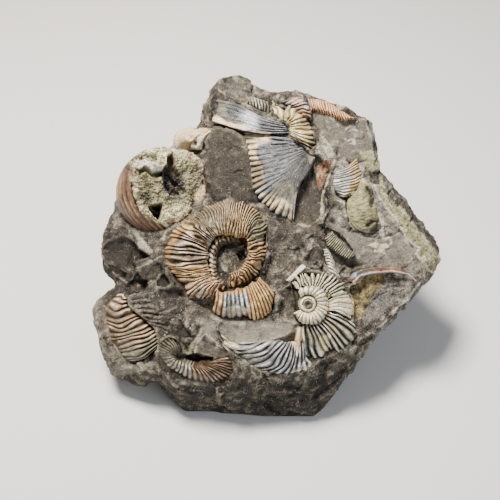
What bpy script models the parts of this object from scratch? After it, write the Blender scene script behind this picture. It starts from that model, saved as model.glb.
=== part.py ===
"""Cluster of ammonites in a broken nodule of dark mudstone, at real size.

The matrix rock is a union of blocks, each the convex hull of a few corners, roughened and chipped.
Each shell is a relief over its own plane: rows of ribs follow the spiral, columns cross the whorl,
and a plug below holds it in a pocket of the rock.  Corners and sizes are in millimetres, on axes
whose +X is the right of the fossil face, +Y the back and +Z up; finish() moves the base to the origin.
"""

from dataclasses import dataclass
from math import cos, pi, radians, sin

import bmesh
import bpy
import numpy as np
from mathutils import Matrix, Vector, noise

MM = 0.001
GAP = 0.5           # clearance between a shell and its pocket, at the corners
OUTLINE_SLACK = 0.16
ROCK_GRAIN = 2.0    # cell size that melts the blocks into one rock
ROCK_ROUGHNESS = 0.9
ROCK_FACES = 1300   # triangles left on the rock before the pockets are cut
POCKET_HEADROOM = 8.0

# ---------------------------------------------------------------- rock corners

BASE_RING = ((14.5, -36.5, 0), (33, -9, 0), (31, 24, 0), (4, 36, 0), (-26, 28, 0), (-40, 4, 0),
             (-36, -21, 0), (-18, -33.4, 0))
FRONT_SILL = ((9.5, -34.1, 18), (-10, -36.8, 17), (-29.8, -33.4, 16), (25.6, -26.3, 23.4),
              (-6.5, -35.4, 1), (-19, -34.6, 1), (-24, -34.2, 1.4), (-29.4, -31.2, 4))
BACK_FACE = ((25, 46, 50), (0, 50, 52), (-20, 46, 46), (-36, 30, 34), (38, 32, 36), (30, 42, 18),
             (-8, 46, 14))

MAIN_BLOCK = BASE_RING + FRONT_SILL + BACK_FACE + (
    (-9.4, -9.5, 38.5), (6.5, -25.2, 27.5), (3.8, 5.8, 48), (-25.3, -17.3, 31.5), (12.9, 19.3, 57),
    (-1.3, 37.5, 67), (10.5, 38.9, 66.8), (24.6, 36.6, 63.4), (32.9, 34.2, 59), (35, 28, 53.6),
    (-34.9, 4.5, 43), (-27, -0.5, 43.6), (-34.4, -15.4, 30.8), (-29.1, 31, 52.5), (31, 14, 51),
    (31.7, -23.1, 24))

SUMMIT_BLOCK = ((-16.8, 37.6, 65.6), (-10.6, 43.4, 72.2), (-14.2, 42.6, 71), (-18, 41.8, 65.5),
                (-4.2, 41, 70.2), (-0.6, 38.5, 67.6), (-21, 35, 58), (-5, 26, 50), (-16, 27, 50),
                (-20, 42, 40), (2, 46, 50))

RIGHT_SLAB = ((31.9, 17.4, 52.9), (34.1, 10.9, 48.5), (38.4, 5.8, 45.1), (42.7, -0.5, 40.8),
              (46.8, -6.8, 36.6), (34, 24, 51.3), (36, 18.2, 46.2), (41, 11, 41),
              (54.8, 3.6, 33), (54.4, 0, 31.6), (49, -8.6, 34.2), (34, -20.8, 25.9),
              (14, 0, 40), (20, 24, 40), (38, 26, 34), (46, 4, 20), (36, -12, 12), (10, -10, 20))

LEFT_SHOULDER = ((-43.8, 24.4, 45), (-48.3, 13.1, 40.3), (-52.6, 2.8, 32.2), (-51, -2.4, 28.7),
                 (-34.9, 4.5, 43.5), (-29.1, 31, 51), (-38, 30, 30), (-46, 6, 12), (-15, 10, 20),
                 (-43, -7, 26), (-40, -8, 33))

LEFT_FOOT = ((-53.2, -11.6, 23), (-50, -8.4, 28), (-51.2, -20, 22.4), (-49.8, -24.8, 14.6),
             (-48.2, -26.6, 6.6), (-45.8, -27, 8), (-36.6, -30, 5.6), (-34, -30, 17),
             (-54.6, -6.1, 16), (-34.4, -15.4, 30.8), (-15, -20, 10), (-15, -5, 20), (-46, 0, 8))

# Chips broken out of the blocks: centre, radii, and the way the hollow faces.
CHIPS = {
    "big_scoop": ((-46, -2, 41.6), (9.5, 8, 6), (-40, 50)),
    "small_scoop": ((-53, -7, 33), (6.5, 5, 4.5), (-60, 30)),
    "summit_face": ((-14.5, 16, 63), (8.5, 17, 9.5), (0, 70)),
    "slab_hollow": ((35.2, -18.5, 33.6), (9.4, 8.2, 7), (12, 46)),
    "pit": ((-27.6, -11.2, 38.6), (2.6, 2.2, 2.4), (0, 50)),
    "back_scoop": ((8, 62, 30), (22, 20, 16), (180, 0)),
    "flank_scoop": ((58, 10, 14), (20, 12, 14), (90, 0)),
    "sill_scoop": ((2, -45, 9), (22, 10.6, 7), (0, 90)),
}

# ---------------------------------------------------------------- shells


@dataclass(frozen=True)
class Relief:
    """One whorl or coil of a shell, raised over its own plane; angles in degrees, sizes in mm."""

    centre: tuple             # where its axis meets the face
    facing: tuple             # azimuth and elevation of its axis
    edge: tuple               # (angle, radius) keys of the outer edge, from the aperture inwards
    inner: tuple = ()         # keys of the inner edge, for an open strip
    dome: float = 0.0         # inner edge as a share of the outer, for a patch closed all round
    turns: int = 1            # whorls of a coil, which has neither inner keys nor dome
    rows: int = 40            # rows in a turn, or in an open strip
    columns: int = 4          # steps across a whorl
    seams: tuple = (0.0, 0.8, 0.4)   # heights of the outer edge and of each seam inside it
    crown: tuple = ((0, 3.0),)       # keys of the whorl's rise between its seams
    rib: tuple = ((0, 0.45),)        # keys of half the height from groove to crest
    sweep: float = 0.0        # degrees by which mid whorl leads its seams
    navel: float = -1.2       # height of the middle of the navel
    sink: float = 6.0         # depth of the plug


@dataclass(frozen=True)
class Shell:
    """One ammonite, or a broken piece of one: reliefs grown together, and their colour."""

    color: tuple
    reliefs: tuple


SHELLS = {
    "central_ammonite": Shell((0.46, 0.25, 0.13), (
        Relief(
            centre=(-10.2, -9.7, 40.4), facing=(-5, 52), turns=2, rows=42,
            edge=((329, 17.4), (312, 18.3), (285, 17), (222, 16.5), (178, 19.4), (139, 16.8),
                  (97, 17.8), (61, 16), (33, 11.6), (2, 9.6), (-31, 8.4), (-60, 8.1),
                  (-172, 6.9), (-220, 7.3), (-276, 6.4), (-340, 4.4), (-384, 3.4), (-700, 2.6)),
            seams=(0.0, 0.6, -0.6), crown=((-391, 1.5), (-31, 2.4), (60, 3.4)), rib=((0, 0.5),),
            navel=-2.6),)),
    "cream_ammonite": Shell((0.60, 0.52, 0.38), (
        Relief(
            centre=(11.7, -19.4, 33.5), facing=(5, 50), turns=2, rows=34,
            edge=((258, 19.4), (284, 16.6), (303, 16.4), (326, 14.8), (349, 13.8), (367, 13.4),
                  (386, 12.4), (413, 10.2), (455, 9.4), (478, 8.6), (500, 5.4), (530, 4.2),
                  (570, 5.0), (618, 6.1), (663, 5.9), (702, 5.7), (765, 5.2), (840, 4.2),
                  (960, 2.9), (980, 2.8)),
            seams=(-0.8, 0.6, 0.8), crown=((258, 2.8), (560, 1.6), (978, 1.2)), rib=((0, 0.45),),
            navel=0.2, sink=7.0),
        Relief(
            centre=(11.7, -19.4, 33.5), facing=(5, 50), rows=22, columns=3,
            edge=((192, 27.6), (200, 27.2), (211, 25), (226, 23), (244, 21.4), (266, 17.6)),
            inner=((192, 26.6), (198, 25.2), (207, 22.4), (215, 17.4), (226, 12.8), (237, 9.6),
                   (266, 9)),
            seams=(-0.8, 0.2), crown=((192, 0.8), (212, 2.0), (250, 2.4), (266, 1.2)), rib=((0, 0.4),),
            sweep=-3.0, sink=6.0))),
    "upper_ammonite": Shell((0.24, 0.26, 0.30), (
        Relief(
            centre=(11.5, 22.7, 60.4), facing=(-12, 54), rows=40, columns=4,
            edge=((158, 32.2), (170, 31.2), (179, 23.2), (186, 18.4), (206, 17.7), (227, 20.1),
                  (251, 24.3), (270, 27.3), (284, 27.2), (292, 24.6), (298, 22)),
            inner=((158, 7.7), (192, 4.8), (224, 3.7), (260, 3.6), (298, 6)),
            seams=(0.2, 0.6), crown=((158, 1.6), (168, 3.2), (245, 3.6), (258, 2.2), (264, 0.9),
                                     (286, 0.7), (291, 1.9), (298, 1.7)),
            rib=((158, 0.35), (250, 0.55), (262, 0.05), (289, 0.05), (298, 0.2)), sink=7.0),
        Relief(
            centre=(10.2, 24.0, 61.8), facing=(-12, 54), rows=26, columns=2, dome=0.3,
            edge=((140, 12.8), (127, 9.0), (110, 6.4), (58, 3.2), (-5, 4.4), (-26, 8.6),
                  (-38, 12.4), (-52, 9), (-66, 6.1), (-131, 4.3), (-177, 4.2), (-203, 8.1),
                  (-220, 12.8)),
            seams=(0.8, 1.8), crown=((0, 1.0),), rib=((0, 0.3),), navel=1.0, sink=6.0))),
    "summit_ammonite": Shell((0.20, 0.18, 0.16), (
        Relief(
            centre=(-23.7, 17.7, 48.2), facing=(-12, 52), rows=24, columns=2,
            edge=((82, 34.4), (75, 33.9), (65, 33.5), (57, 33.7), (48, 33.6)),
            inner=((82, 31), (71, 29.8), (62, 29.6), (54, 30.5), (48, 31.2)),
            seams=(0.4, 0.4), crown=((0, 1.4),), rib=((0, 0.35),), sink=4.0),)),
    "lower_left_ammonite": Shell((0.50, 0.34, 0.24), (
        Relief(
            centre=(-20.2, -14.3, 35.2), facing=(-25, 45), rows=20, columns=4,
            edge=((200, 31), (207, 32.8), (224, 33.2), (234, 34.4), (243, 33.4), (248, 30)),
            inner=((200, 24), (212, 24.6), (220, 21.8), (230, 20.1), (241, 19.4), (248, 22)),
            seams=(-3.0, 0.2), crown=((200, 4.6), (224, 5.4), (248, 4.0)), rib=((0, 0.7),),
            sweep=3.0, sink=8.0),)),
    "bottom_ammonite": Shell((0.34, 0.22, 0.18), (
        Relief(
            centre=(-20.8, -31.3, 22.2), facing=(-8, 30), rows=34, columns=3,
            edge=((135, 9.4), (156, 11.4), (180, 10), (205, 7.6), (230, 6.2), (255, 5.8),
                  (287, 7), (316, 8.7), (345, 10.8), (374, 10.2)),
            inner=((135, 6.8), (160, 5.2), (190, 4.4), (214, 3.2), (245, 2.0), (317, 2.0),
                   (350, 4.2), (374, 5)),
            seams=(-1.2, 0.2), crown=((135, 2.6), (374, 2.8)), rib=((0, 0.4),), sink=5.0),)),
    "right_ammonite": Shell((0.44, 0.42, 0.34), (
        Relief(
            centre=(26.8, 9.9, 50.6), facing=(10, 56), rows=28, columns=3, dome=0.25,
            edge=((142, 7.8), (111, 7.2), (88, 6.2), (70, 4.2), (38, 4), (-7, 5), (-50, 7),
                  (-63, 11.4), (-75, 14), (-90, 12.8), (-105, 10.4), (-123, 7.2), (-143, 5.0),
                  (-170, 6.2), (-195, 7.2), (-218, 7.8)),
            seams=(0.0, 1.8), crown=((0, 1.3),), rib=((0, 0.4),), navel=2.2, sink=5.0),)),
    "top_ammonite": Shell((0.62, 0.38, 0.22), (
        Relief(
            centre=(16.3, 8.7, 52.5), facing=(12, 62), rows=26, columns=2,
            edge=((89, 31.8), (84, 30.7), (76, 29.4), (68, 29.2), (59, 28.3), (52, 26.6)),
            inner=((89, 28.8), (84, 27.3), (76, 25.6), (66, 24.7), (57, 24.6), (52, 24.8)),
            seams=(0.0, 0.2), crown=((0, 1.6),), rib=((0, 0.3),), sink=4.0),)),
    "tan_whorl": Shell((0.62, 0.50, 0.36), (
        Relief(
            centre=(-22.5, 26.8, 57.0), facing=(-10, 48), rows=20, columns=3, dome=0.25,
            edge=((35, 7.0), (49, 5.4), (83, 3.8), (127, 4.4), (153, 5.6), (178, 6.3), (201, 6.1),
                  (222, 4.8), (273, 3.4), (314, 4.3), (357, 4.1), (395, 7.0)),
            seams=(-2.0, 2.6), crown=((0, 0.7),), rib=((0, 0.1),), navel=2.9, sink=4.0),)),
    "shell_cup": Shell((0.66, 0.62, 0.56), (
        Relief(
            centre=(34.8, -15.1, 30.2), facing=(12, 46), rows=18, columns=1,
            edge=((147, 11.8), (136, 11.4), (126, 11), (110, 9.8), (74, 9), (45, 10), (22, 11.9),
                  (14, 12.6)),
            inner=((147, 10.4), (136, 10.1), (126, 9.6), (110, 8.4), (74, 7.6), (45, 8.6),
                   (22, 10.6), (14, 11.2)),
            seams=(1.4, 1.4), crown=((0, 0.0),), rib=((0, 0.0),), sink=7.0),)),
    "small_ribbed_shell": Shell((0.50, 0.46, 0.38), (
        Relief(
            centre=(16, -11.3, 37.2), facing=(5, 50), rows=16, columns=2,
            edge=((142, 6.7), (116, 7.7), (93, 9.2), (75, 6.8), (46, 5), (4, 4.2)),
            inner=((142, 4.8), (122, 4.2), (95, 4), (57, 3.1), (4, 2.9)),
            seams=(0.0, 0.2), crown=((0, 1.6),), rib=((0, 0.3),), sink=4.0),)),
    "fine_ribbed_shell": Shell((0.42, 0.40, 0.36), (
        Relief(
            centre=(9.1, -14.8, 36.4), facing=(5, 52), rows=20, columns=2,
            edge=((61, 19.6), (45, 19.8), (29, 19.4)),
            inner=((61, 17), (45, 16.8), (29, 17)),
            seams=(0.0, 0.0), crown=((0, 1.2),), rib=((0, 0.3),), sink=4.0),)),
}

# The hollow shell is a bowl: an egg cut by a plane, open towards its axis.
HOLLOW_EGG = (2.6, 0.3, -9.3)     # middle of the egg, from the middle of the broken face
HOLLOW_RADII = (14.4, 13.8, 14.0)
HOLLOW_WALL = 1.2
HOLLOW_COLOR = (0.58, 0.38, 0.29)
CRYSTAL_COLOR = (0.36, 0.35, 0.22)
CRYSTAL_FACE = Relief(
    centre=(-31.6, 9.1, 52.1), facing=(25, 50), rows=30, columns=3, dome=0.2,
    edge=((100, 11.8), (118, 9.8), (135, 7.4), (163, 6.2), (207, 7), (232, 8.2), (263, 9.8),
          (290, 10.4), (316, 10.8), (345, 11.8), (367, 14.4), (377, 15.8), (388, 15.2),
          (405, 13.5), (448, 12.4), (460, 11.8)),
    seams=(-0.6, 0.4), crown=((0, 0.5),), rib=((0, 0.35),), navel=0.0, sink=3.4)
CRYSTAL_HOLES = (((1.6, 4.6), (1.3, 4.2)), ((-3.2, -4.6), (1.5, 1.9)))
ROCK_COLOR = (0.075, 0.065, 0.055)


# ---------------------------------------------------------------- helpers

def add_collection(name):
    """Make a collection under the scene and give it back."""
    collection = bpy.data.collections.new(name)
    bpy.context.scene.collection.children.link(collection)
    return collection


def material(name, color, roughness):
    """A plain Principled finish."""
    finish = bpy.data.materials.new(name)
    finish.use_nodes = True
    shader = finish.node_tree.nodes["Principled BSDF"]
    shader.inputs["Base Color"].default_value = (*color, 1.0)
    shader.inputs["Roughness"].default_value = roughness
    finish.diffuse_color = (*color, 1.0)
    return finish


def object_from(bm, name, collection):
    """Turn a bmesh into an object of the collection."""
    mesh = bpy.data.meshes.new(name)
    bm.to_mesh(mesh)
    bm.free()
    obj = bpy.data.objects.new(name, mesh)
    collection.objects.link(obj)
    return obj


def bake(obj):
    """Apply the modifiers by keeping the evaluated mesh."""
    graph = bpy.context.evaluated_depsgraph_get()
    mesh = bpy.data.meshes.new_from_object(obj.evaluated_get(graph))
    obj.modifiers.clear()
    obj.data = mesh


def combine(obj, other, operation):
    """Exact Boolean of obj with other, which is used up."""
    cut = obj.modifiers.new(operation.lower(), "BOOLEAN")
    cut.operation = operation
    cut.solver = "EXACT"
    cut.object = other
    bake(obj)
    bpy.data.objects.remove(other)


def hull(name, corners, collection):
    """Convex hull of corners given in millimetres."""
    bm = bmesh.new()
    for corner in corners:
        bm.verts.new(Vector(corner) * MM)
    made = bmesh.ops.convex_hull(bm, input=bm.verts)
    loose = [v for v in made["geom_interior"] if isinstance(v, bmesh.types.BMVert)]
    bmesh.ops.delete(bm, geom=loose, context="VERTS")
    bmesh.ops.recalc_face_normals(bm, faces=bm.faces)
    return object_from(bm, name, collection)


def egg(name, centre, radii, frame, collection, rings=10):
    """Ellipsoid with radii in millimetres along the axes of frame."""
    bm = bmesh.new()
    bmesh.ops.create_uvsphere(bm, u_segments=2 * rings, v_segments=rings, radius=1.0)
    size = Matrix.Diagonal((*radii, 1.0))
    bmesh.ops.transform(bm, matrix=Matrix.Scale(MM, 4) @ Matrix.Translation(centre) @ frame @ size,
                        verts=bm.verts)
    return object_from(bm, name, collection)


def axes_towards(azimuth, elevation):
    """Rotation whose Z looks along azimuth and elevation, with X level."""
    a = radians(azimuth)
    e = radians(elevation)
    z = Vector((sin(a) * cos(e), -cos(a) * cos(e), sin(e)))
    x = Vector((cos(a), sin(a), 0.0))
    y = z.cross(x)
    return Matrix((x, y, z)).transposed().to_4x4()


def smooth_key(keys, at):
    """Catmull-Rom value at a place among (place, value) keys that run either way."""
    keys = sorted(keys)
    at = min(max(at, keys[0][0]), keys[-1][0])
    k = max(i for i in range(len(keys) - 1) if keys[i][0] <= at)
    (x1, y1), (x2, y2) = keys[k], keys[k + 1]
    x0, y0 = keys[max(k - 1, 0)]
    x3, y3 = keys[min(k + 2, len(keys) - 1)]
    width = x2 - x1
    slope1 = (y2 - y0) / (x2 - x0) * width
    slope2 = (y3 - y1) / (x3 - x1) * width
    t = (at - x1) / width
    return (y1 * (2 * t**3 - 3 * t**2 + 1) + slope1 * (t**3 - 2 * t**2 + t)
            + y2 * (3 * t**2 - 2 * t**3) + slope2 * (t**3 - t**2))


def seam_height(seams, turn):
    """Height of the seam after so many turns, straight between whole turns."""
    turn = min(max(turn, 0.0), len(seams) - 1.0)
    k = min(int(turn), len(seams) - 2)
    return seams[k] + (seams[k + 1] - seams[k]) * (turn - k)


def level(keys, at):
    """Value at a place, straight between keys."""
    places, values = zip(*sorted(keys))
    return float(np.interp(at, places, values))


# ---------------------------------------------------------------- shells

def relief_point(relief, row, column):
    """Point of the relief at a row and column, on its own axes."""
    first, last = relief.edge[0][0], relief.edge[-1][0]
    way = 1 if last > first else -1
    across = column / relief.columns
    if relief.inner:
        angle = first + (last - first) * row / relief.rows
        inner = smooth_key(relief.inner, angle)
        low, high = relief.seams
    elif relief.dome:
        angle = first + (last - first) * (row % relief.rows) / relief.rows
        inner = smooth_key(relief.edge, angle) * relief.dome
        low, high = relief.seams
    else:
        turn = row / relief.rows
        angle = first + way * 360 * turn
        inner = smooth_key(relief.edge, angle + way * 360)
        low = seam_height(relief.seams, turn)
        high = seam_height(relief.seams, turn + 1)
    outer = smooth_key(relief.edge, angle)
    radius = outer + (inner - outer) * across
    arch = sin(pi * across) ** 0.7 if 0 < column < relief.columns else 0.0
    ridge = level(relief.rib, angle) * (1 if row % 2 else -1)
    height = low + (high - low) * across + arch * (level(relief.crown, angle) + ridge)
    turned = radians(angle + relief.sweep * arch)
    return Vector((radius * cos(turned), radius * sin(turned), height))


def relief_surface(relief):
    """Open upper surface of a relief."""
    bm = bmesh.new()
    rows = relief.rows * relief.turns
    grid = [[bm.verts.new(relief_point(relief, row, column))
             for column in range(relief.columns + 1)] for row in range(rows + 1)]
    for row in range(rows):
        for column in range(relief.columns):
            bm.faces.new((grid[row][column], grid[row][column + 1], grid[row + 1][column + 1],
                          grid[row + 1][column]))
    if not relief.inner:
        hub = bm.verts.new((0.0, 0.0, relief.navel))
        ring = [grid[row][-1] for row in range(rows - relief.rows, rows + 1)]
        if not relief.dome:
            ring += [grid[-1][column] for column in range(relief.columns - 1, -1, -1)]
        for here, after in zip(ring, ring[1:]):
            bm.faces.new((here, after, hub))
        bmesh.ops.remove_doubles(bm, verts=bm.verts, dist=1e-4)
    bmesh.ops.recalc_face_normals(bm, faces=bm.faces)
    if sum(face.normal.z for face in bm.faces) < 0:
        bmesh.ops.reverse_faces(bm, faces=bm.faces)
    return bm


def border(bm):
    """Vertices of the open border in order, anticlockwise from above."""
    edge = next(e for e in bm.edges if e.is_boundary)
    loop = edge.link_loops[0]
    start = loop.vert
    ring = [start]
    here = loop.link_loop_next.vert
    came = edge
    while here is not start:
        ring.append(here)
        came = next(e for e in here.link_edges if e.is_boundary and e is not came)
        here = came.other_vert(here)
    return ring


def grown(points, gap):
    """Plan outline moved outwards by gap, corners mitred."""
    count = len(points)
    moved = []
    for i, point in enumerate(points):
        before = point - points[i - 1]
        after = points[(i + 1) % count] - point
        n1 = Vector((before.y, -before.x)).normalized()
        n2 = Vector((after.y, -after.x)).normalized()
        middle = (n1 + n2).normalized()
        reach = gap / max(middle.dot(n1), 0.5)
        moved.append(point + middle * reach)
    return moved


def prism(name, outline, low, high, frame, collection):
    """Upright prism over a plan outline, placed by frame."""
    bm = bmesh.new()
    floor = bm.faces.new([bm.verts.new((p.x, p.y, low)) for p in outline])
    made = bmesh.ops.extrude_face_region(bm, geom=[floor])
    lifted = [v for v in made["geom"] if isinstance(v, bmesh.types.BMVert)]
    bmesh.ops.translate(bm, verts=lifted, vec=(0, 0, high - low))
    bmesh.ops.triangulate(bm, faces=[f for f in bm.faces if len(f.verts) > 4])
    bmesh.ops.transform(bm, matrix=frame, verts=bm.verts)
    bmesh.ops.recalc_face_normals(bm, faces=bm.faces)
    return object_from(bm, name, collection)


def thinned(points, slack):
    """Outline without the points that lie within slack of the line past them."""
    kept = list(points)
    i = 0
    while i < len(kept) and len(kept) > 8:
        before, here, after = kept[i - 1], kept[i], kept[(i + 1) % len(kept)]
        along = (after - before).normalized()
        off = abs(along.x * (here - before).y - along.y * (here - before).x)
        if off < slack:
            kept.pop(i)
        i += 1
    return kept


def relief_frame(relief):
    """Placement of a relief's own axes, millimetres to metres."""
    return Matrix.Scale(MM, 4) @ Matrix.Translation(relief.centre) @ axes_towards(*relief.facing)


def relief_solid(name, relief, collection):
    """Closed solid of a relief: its surface, straight sides and a flat underside."""
    bm = relief_surface(relief)
    sides = bmesh.ops.extrude_edge_only(bm, edges=[e for e in bm.edges if e.is_boundary])
    for vert in sides["geom"]:
        if isinstance(vert, bmesh.types.BMVert):
            vert.co.z = -relief.sink
    rim = [e for e in bm.edges if e.is_boundary]
    bmesh.ops.contextual_create(bm, geom=rim)
    bmesh.ops.triangulate(bm, faces=bm.faces)
    bmesh.ops.recalc_face_normals(bm, faces=bm.faces)
    bmesh.ops.transform(bm, matrix=relief_frame(relief), verts=bm.verts)
    return object_from(bm, name, collection)


def relief_pocket(name, relief, collection):
    """Pocket for a relief: its outline grown by the clearance."""
    bm = relief_surface(relief)
    outline = [v.co.to_2d() for v in border(bm)]
    bm.free()
    if sum(a.cross(b) for a, b in zip(outline, outline[1:])) < 0:
        outline.reverse()
    outline = thinned(grown(outline, GAP), OUTLINE_SLACK)
    return prism("pocket_" + name, outline, -relief.sink - GAP, POCKET_HEADROOM,
                 relief_frame(relief), collection)


def add_shell(name, shell, collection):
    """One node for a shell: its reliefs joined."""
    obj = relief_solid(name, shell.reliefs[0], collection)
    for relief in shell.reliefs[1:]:
        combine(obj, relief_solid("grown_on", relief, collection), "UNION")
    obj.data.materials.clear()
    obj.data.materials.append(material(name + "_shell", shell.color, 0.45))
    return obj


def add_hollow_shell(rock, collection):
    """Bowl of the hollow ammonite and its crystal filling, seated in the rock."""
    turned = axes_towards(*CRYSTAL_FACE.facing)
    face = Matrix.Translation(CRYSTAL_FACE.centre) @ turned
    middle = face @ Vector(HOLLOW_EGG)

    def hollow_egg(name, inset, rings):
        """Egg that is smaller than the outside of the bowl by inset."""
        radii = tuple(r - inset for r in HOLLOW_RADII)
        return egg(name, middle, radii, turned, collection, rings)

    bowl = hollow_egg("hollow_ammonite", 0.0, 10)
    combine(bowl, hollow_egg("inside", HOLLOW_WALL, 8), "DIFFERENCE")
    combine(bowl, slab("broken_off", face, 0.0, 40, collection), "DIFFERENCE")
    combine(bowl, relief_pocket("crystals", CRYSTAL_FACE, collection), "DIFFERENCE")
    bowl.data.materials.clear()
    bowl.data.materials.append(material("hollow_ammonite_shell", HOLLOW_COLOR, 0.5))

    filling = hollow_egg("crystal_filling", HOLLOW_WALL + GAP, 8)
    combine(filling, slab("broken_off", face, -1.0, 40, collection), "DIFFERENCE")
    combine(filling, relief_solid("crystal_face", CRYSTAL_FACE, collection), "UNION")
    for (x, y), (wide, tall) in CRYSTAL_HOLES:
        hole = egg("hole", face @ Vector((x, y, 0)), (wide, tall, 6), turned, collection, 5)
        combine(filling, hole, "DIFFERENCE")
    filling.data.materials.clear()
    filling.data.materials.append(material("calcite_crystals", CRYSTAL_COLOR, 0.6))

    combine(rock, hollow_egg("pocket_bowl", -GAP, 10), "DIFFERENCE")
    combine(rock, relief_pocket("crystals", CRYSTAL_FACE, collection), "DIFFERENCE")


def slab(name, place, low, size, collection):
    """Big block above a plane, for cutting."""
    bm = bmesh.new()
    bmesh.ops.create_cube(bm, size=size)
    shift = Matrix.Scale(MM, 4) @ place @ Matrix.Translation((0, 0, low + size / 2))
    bmesh.ops.transform(bm, matrix=shift, verts=bm.verts)
    return object_from(bm, name, collection)


# ---------------------------------------------------------------- rock

def add_rock(collection):
    """Blocks melted into one lump, chipped, roughened and stood on a flat underside."""
    rock = hull("matrix_rock", MAIN_BLOCK, collection)
    blocks = {"summit": SUMMIT_BLOCK, "right_slab": RIGHT_SLAB, "left_shoulder": LEFT_SHOULDER,
              "left_foot": LEFT_FOOT}
    for name, corners in blocks.items():
        combine(rock, hull(name, corners, collection), "UNION")
    for name, (centre, radii, facing) in CHIPS.items():
        chip = egg(name, centre, radii, axes_towards(*facing), collection)
        combine(rock, chip, "DIFFERENCE")
    melt = rock.modifiers.new("melt", "REMESH")
    melt.mode = "VOXEL"
    melt.voxel_size = ROCK_GRAIN * MM
    bake(rock)
    roughen(rock)
    thin = rock.modifiers.new("facets", "DECIMATE")
    thin.ratio = ROCK_FACES / sum(len(f.vertices) - 2 for f in rock.data.polygons)
    bake(rock)
    combine(rock, slab("table", Matrix.Rotation(pi, 4, "X"), 0.0, 200, collection), "DIFFERENCE")
    rock.data.materials.clear()
    rock.data.materials.append(material("dark_mudstone", ROCK_COLOR, 0.85))
    return rock


def roughen(rock):
    """Push the surface in and out by fractal noise, as fracture does."""
    for vert in rock.data.vertices:
        place = vert.co / MM
        coarse = noise.noise(place / 14.0)
        fine = noise.noise(place / 5.0 + Vector((7.0, 3.0, 1.0)))
        vert.co += vert.normal * (coarse + 0.6 * fine) * ROCK_ROUGHNESS * MM
        if place.z < ROCK_GRAIN:
            vert.co.z = min(vert.co.z, -0.5 * MM)


def triangulated(obj):
    """Split what the Booleans left as polygons into triangles."""
    bm = bmesh.new()
    bm.from_mesh(obj.data)
    bmesh.ops.triangulate(bm, faces=bm.faces)
    bm.to_mesh(obj.data)
    bm.free()


def finish(collection):
    """Triangulate every piece and move the middle of the underside to the origin."""
    corners = []
    for obj in collection.objects:
        triangulated(obj)
        corners += [v.co for v in obj.data.vertices]
    low = Vector([min(c[i] for c in corners) for i in range(3)])
    high = Vector([max(c[i] for c in corners) for i in range(3)])
    shift = Vector((-(low.x + high.x) / 2, -(low.y + high.y) / 2, -low.z))
    for obj in collection.objects:
        obj.data.transform(Matrix.Translation(shift))
        obj.data.update()
    return shift


def main():
    """Build the rock and seat every shell in it."""
    for obj in list(bpy.data.objects):
        bpy.data.objects.remove(obj)
    fossil = add_collection("ammonite_cluster")
    rock = add_rock(fossil)
    add_hollow_shell(rock, fossil)
    for name, shell in SHELLS.items():
        add_shell(name, shell, fossil)
        for relief in shell.reliefs:
            combine(rock, relief_pocket(name, relief, fossil), "DIFFERENCE")
    return finish(fossil)


if __name__ == "__main__":
    main()
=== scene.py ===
"""Cluster of ammonites in a broken nodule of dark mudstone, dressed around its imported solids.

Sizes are in millimetres on the seats' own axes, whose origin lies SEAT_SHIFT from the frame's:
+X to the right of the fossil face, +Y to the back, +Z up.  Rib lines and the outlines of stains,
scuffs and broken patches are drawn on the picture plane of the Eye, whose frame is 500 wide, and
are laid from there on the surfaces that face it.  Each is read on a Part of that plane.
"""

import logging
from collections.abc import Iterator
from contextlib import contextmanager
from dataclasses import dataclass
from enum import Enum
from math import cos, pi, radians, sin, tan

import bpy
import numpy as np
from mathutils import Matrix, Vector


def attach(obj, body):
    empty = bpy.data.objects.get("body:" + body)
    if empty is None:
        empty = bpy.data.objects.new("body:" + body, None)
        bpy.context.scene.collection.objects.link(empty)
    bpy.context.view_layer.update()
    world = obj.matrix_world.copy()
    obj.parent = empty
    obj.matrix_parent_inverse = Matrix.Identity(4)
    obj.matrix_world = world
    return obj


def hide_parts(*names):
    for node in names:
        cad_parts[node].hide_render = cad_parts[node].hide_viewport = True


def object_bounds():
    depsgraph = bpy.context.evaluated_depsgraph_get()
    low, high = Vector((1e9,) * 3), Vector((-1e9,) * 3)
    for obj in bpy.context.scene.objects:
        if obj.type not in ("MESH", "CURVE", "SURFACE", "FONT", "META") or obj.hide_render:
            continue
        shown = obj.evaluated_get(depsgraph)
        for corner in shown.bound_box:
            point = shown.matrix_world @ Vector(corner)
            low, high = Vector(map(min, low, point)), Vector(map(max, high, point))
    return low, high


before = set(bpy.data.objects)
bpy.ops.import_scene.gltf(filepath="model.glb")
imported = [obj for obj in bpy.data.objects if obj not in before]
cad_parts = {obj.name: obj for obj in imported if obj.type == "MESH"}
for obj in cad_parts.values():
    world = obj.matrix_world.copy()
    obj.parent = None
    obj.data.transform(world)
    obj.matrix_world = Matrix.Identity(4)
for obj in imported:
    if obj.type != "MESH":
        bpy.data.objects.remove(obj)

MM = 0.001
CAD_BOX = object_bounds()
SEAT_SHIFT = np.array((0.26, -6.61, 0.0))   # from the seats' axes to the frame's
PER_MM = 3.3                                # picture plane's units to a mm of shell
WELD_GAP = 0.0005                           # mm, under which vertices count as one
LEVEL_CREST = 0.6                           # crest that neither rises nor sinks
FLANK_CREST = 0.66                          # crest that shows a tone's flank colour
Keys = tuple[tuple[float, float], ...]      # places and values
Outline = tuple[tuple[float, float], ...]   # corners on the picture plane
Guides = tuple[tuple[float, Outline], ...]  # ribs' numbers and lines

log = logging.getLogger("ammonites")


# ---------------------------------------------------------------- numbers along keys, and noise

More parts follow.
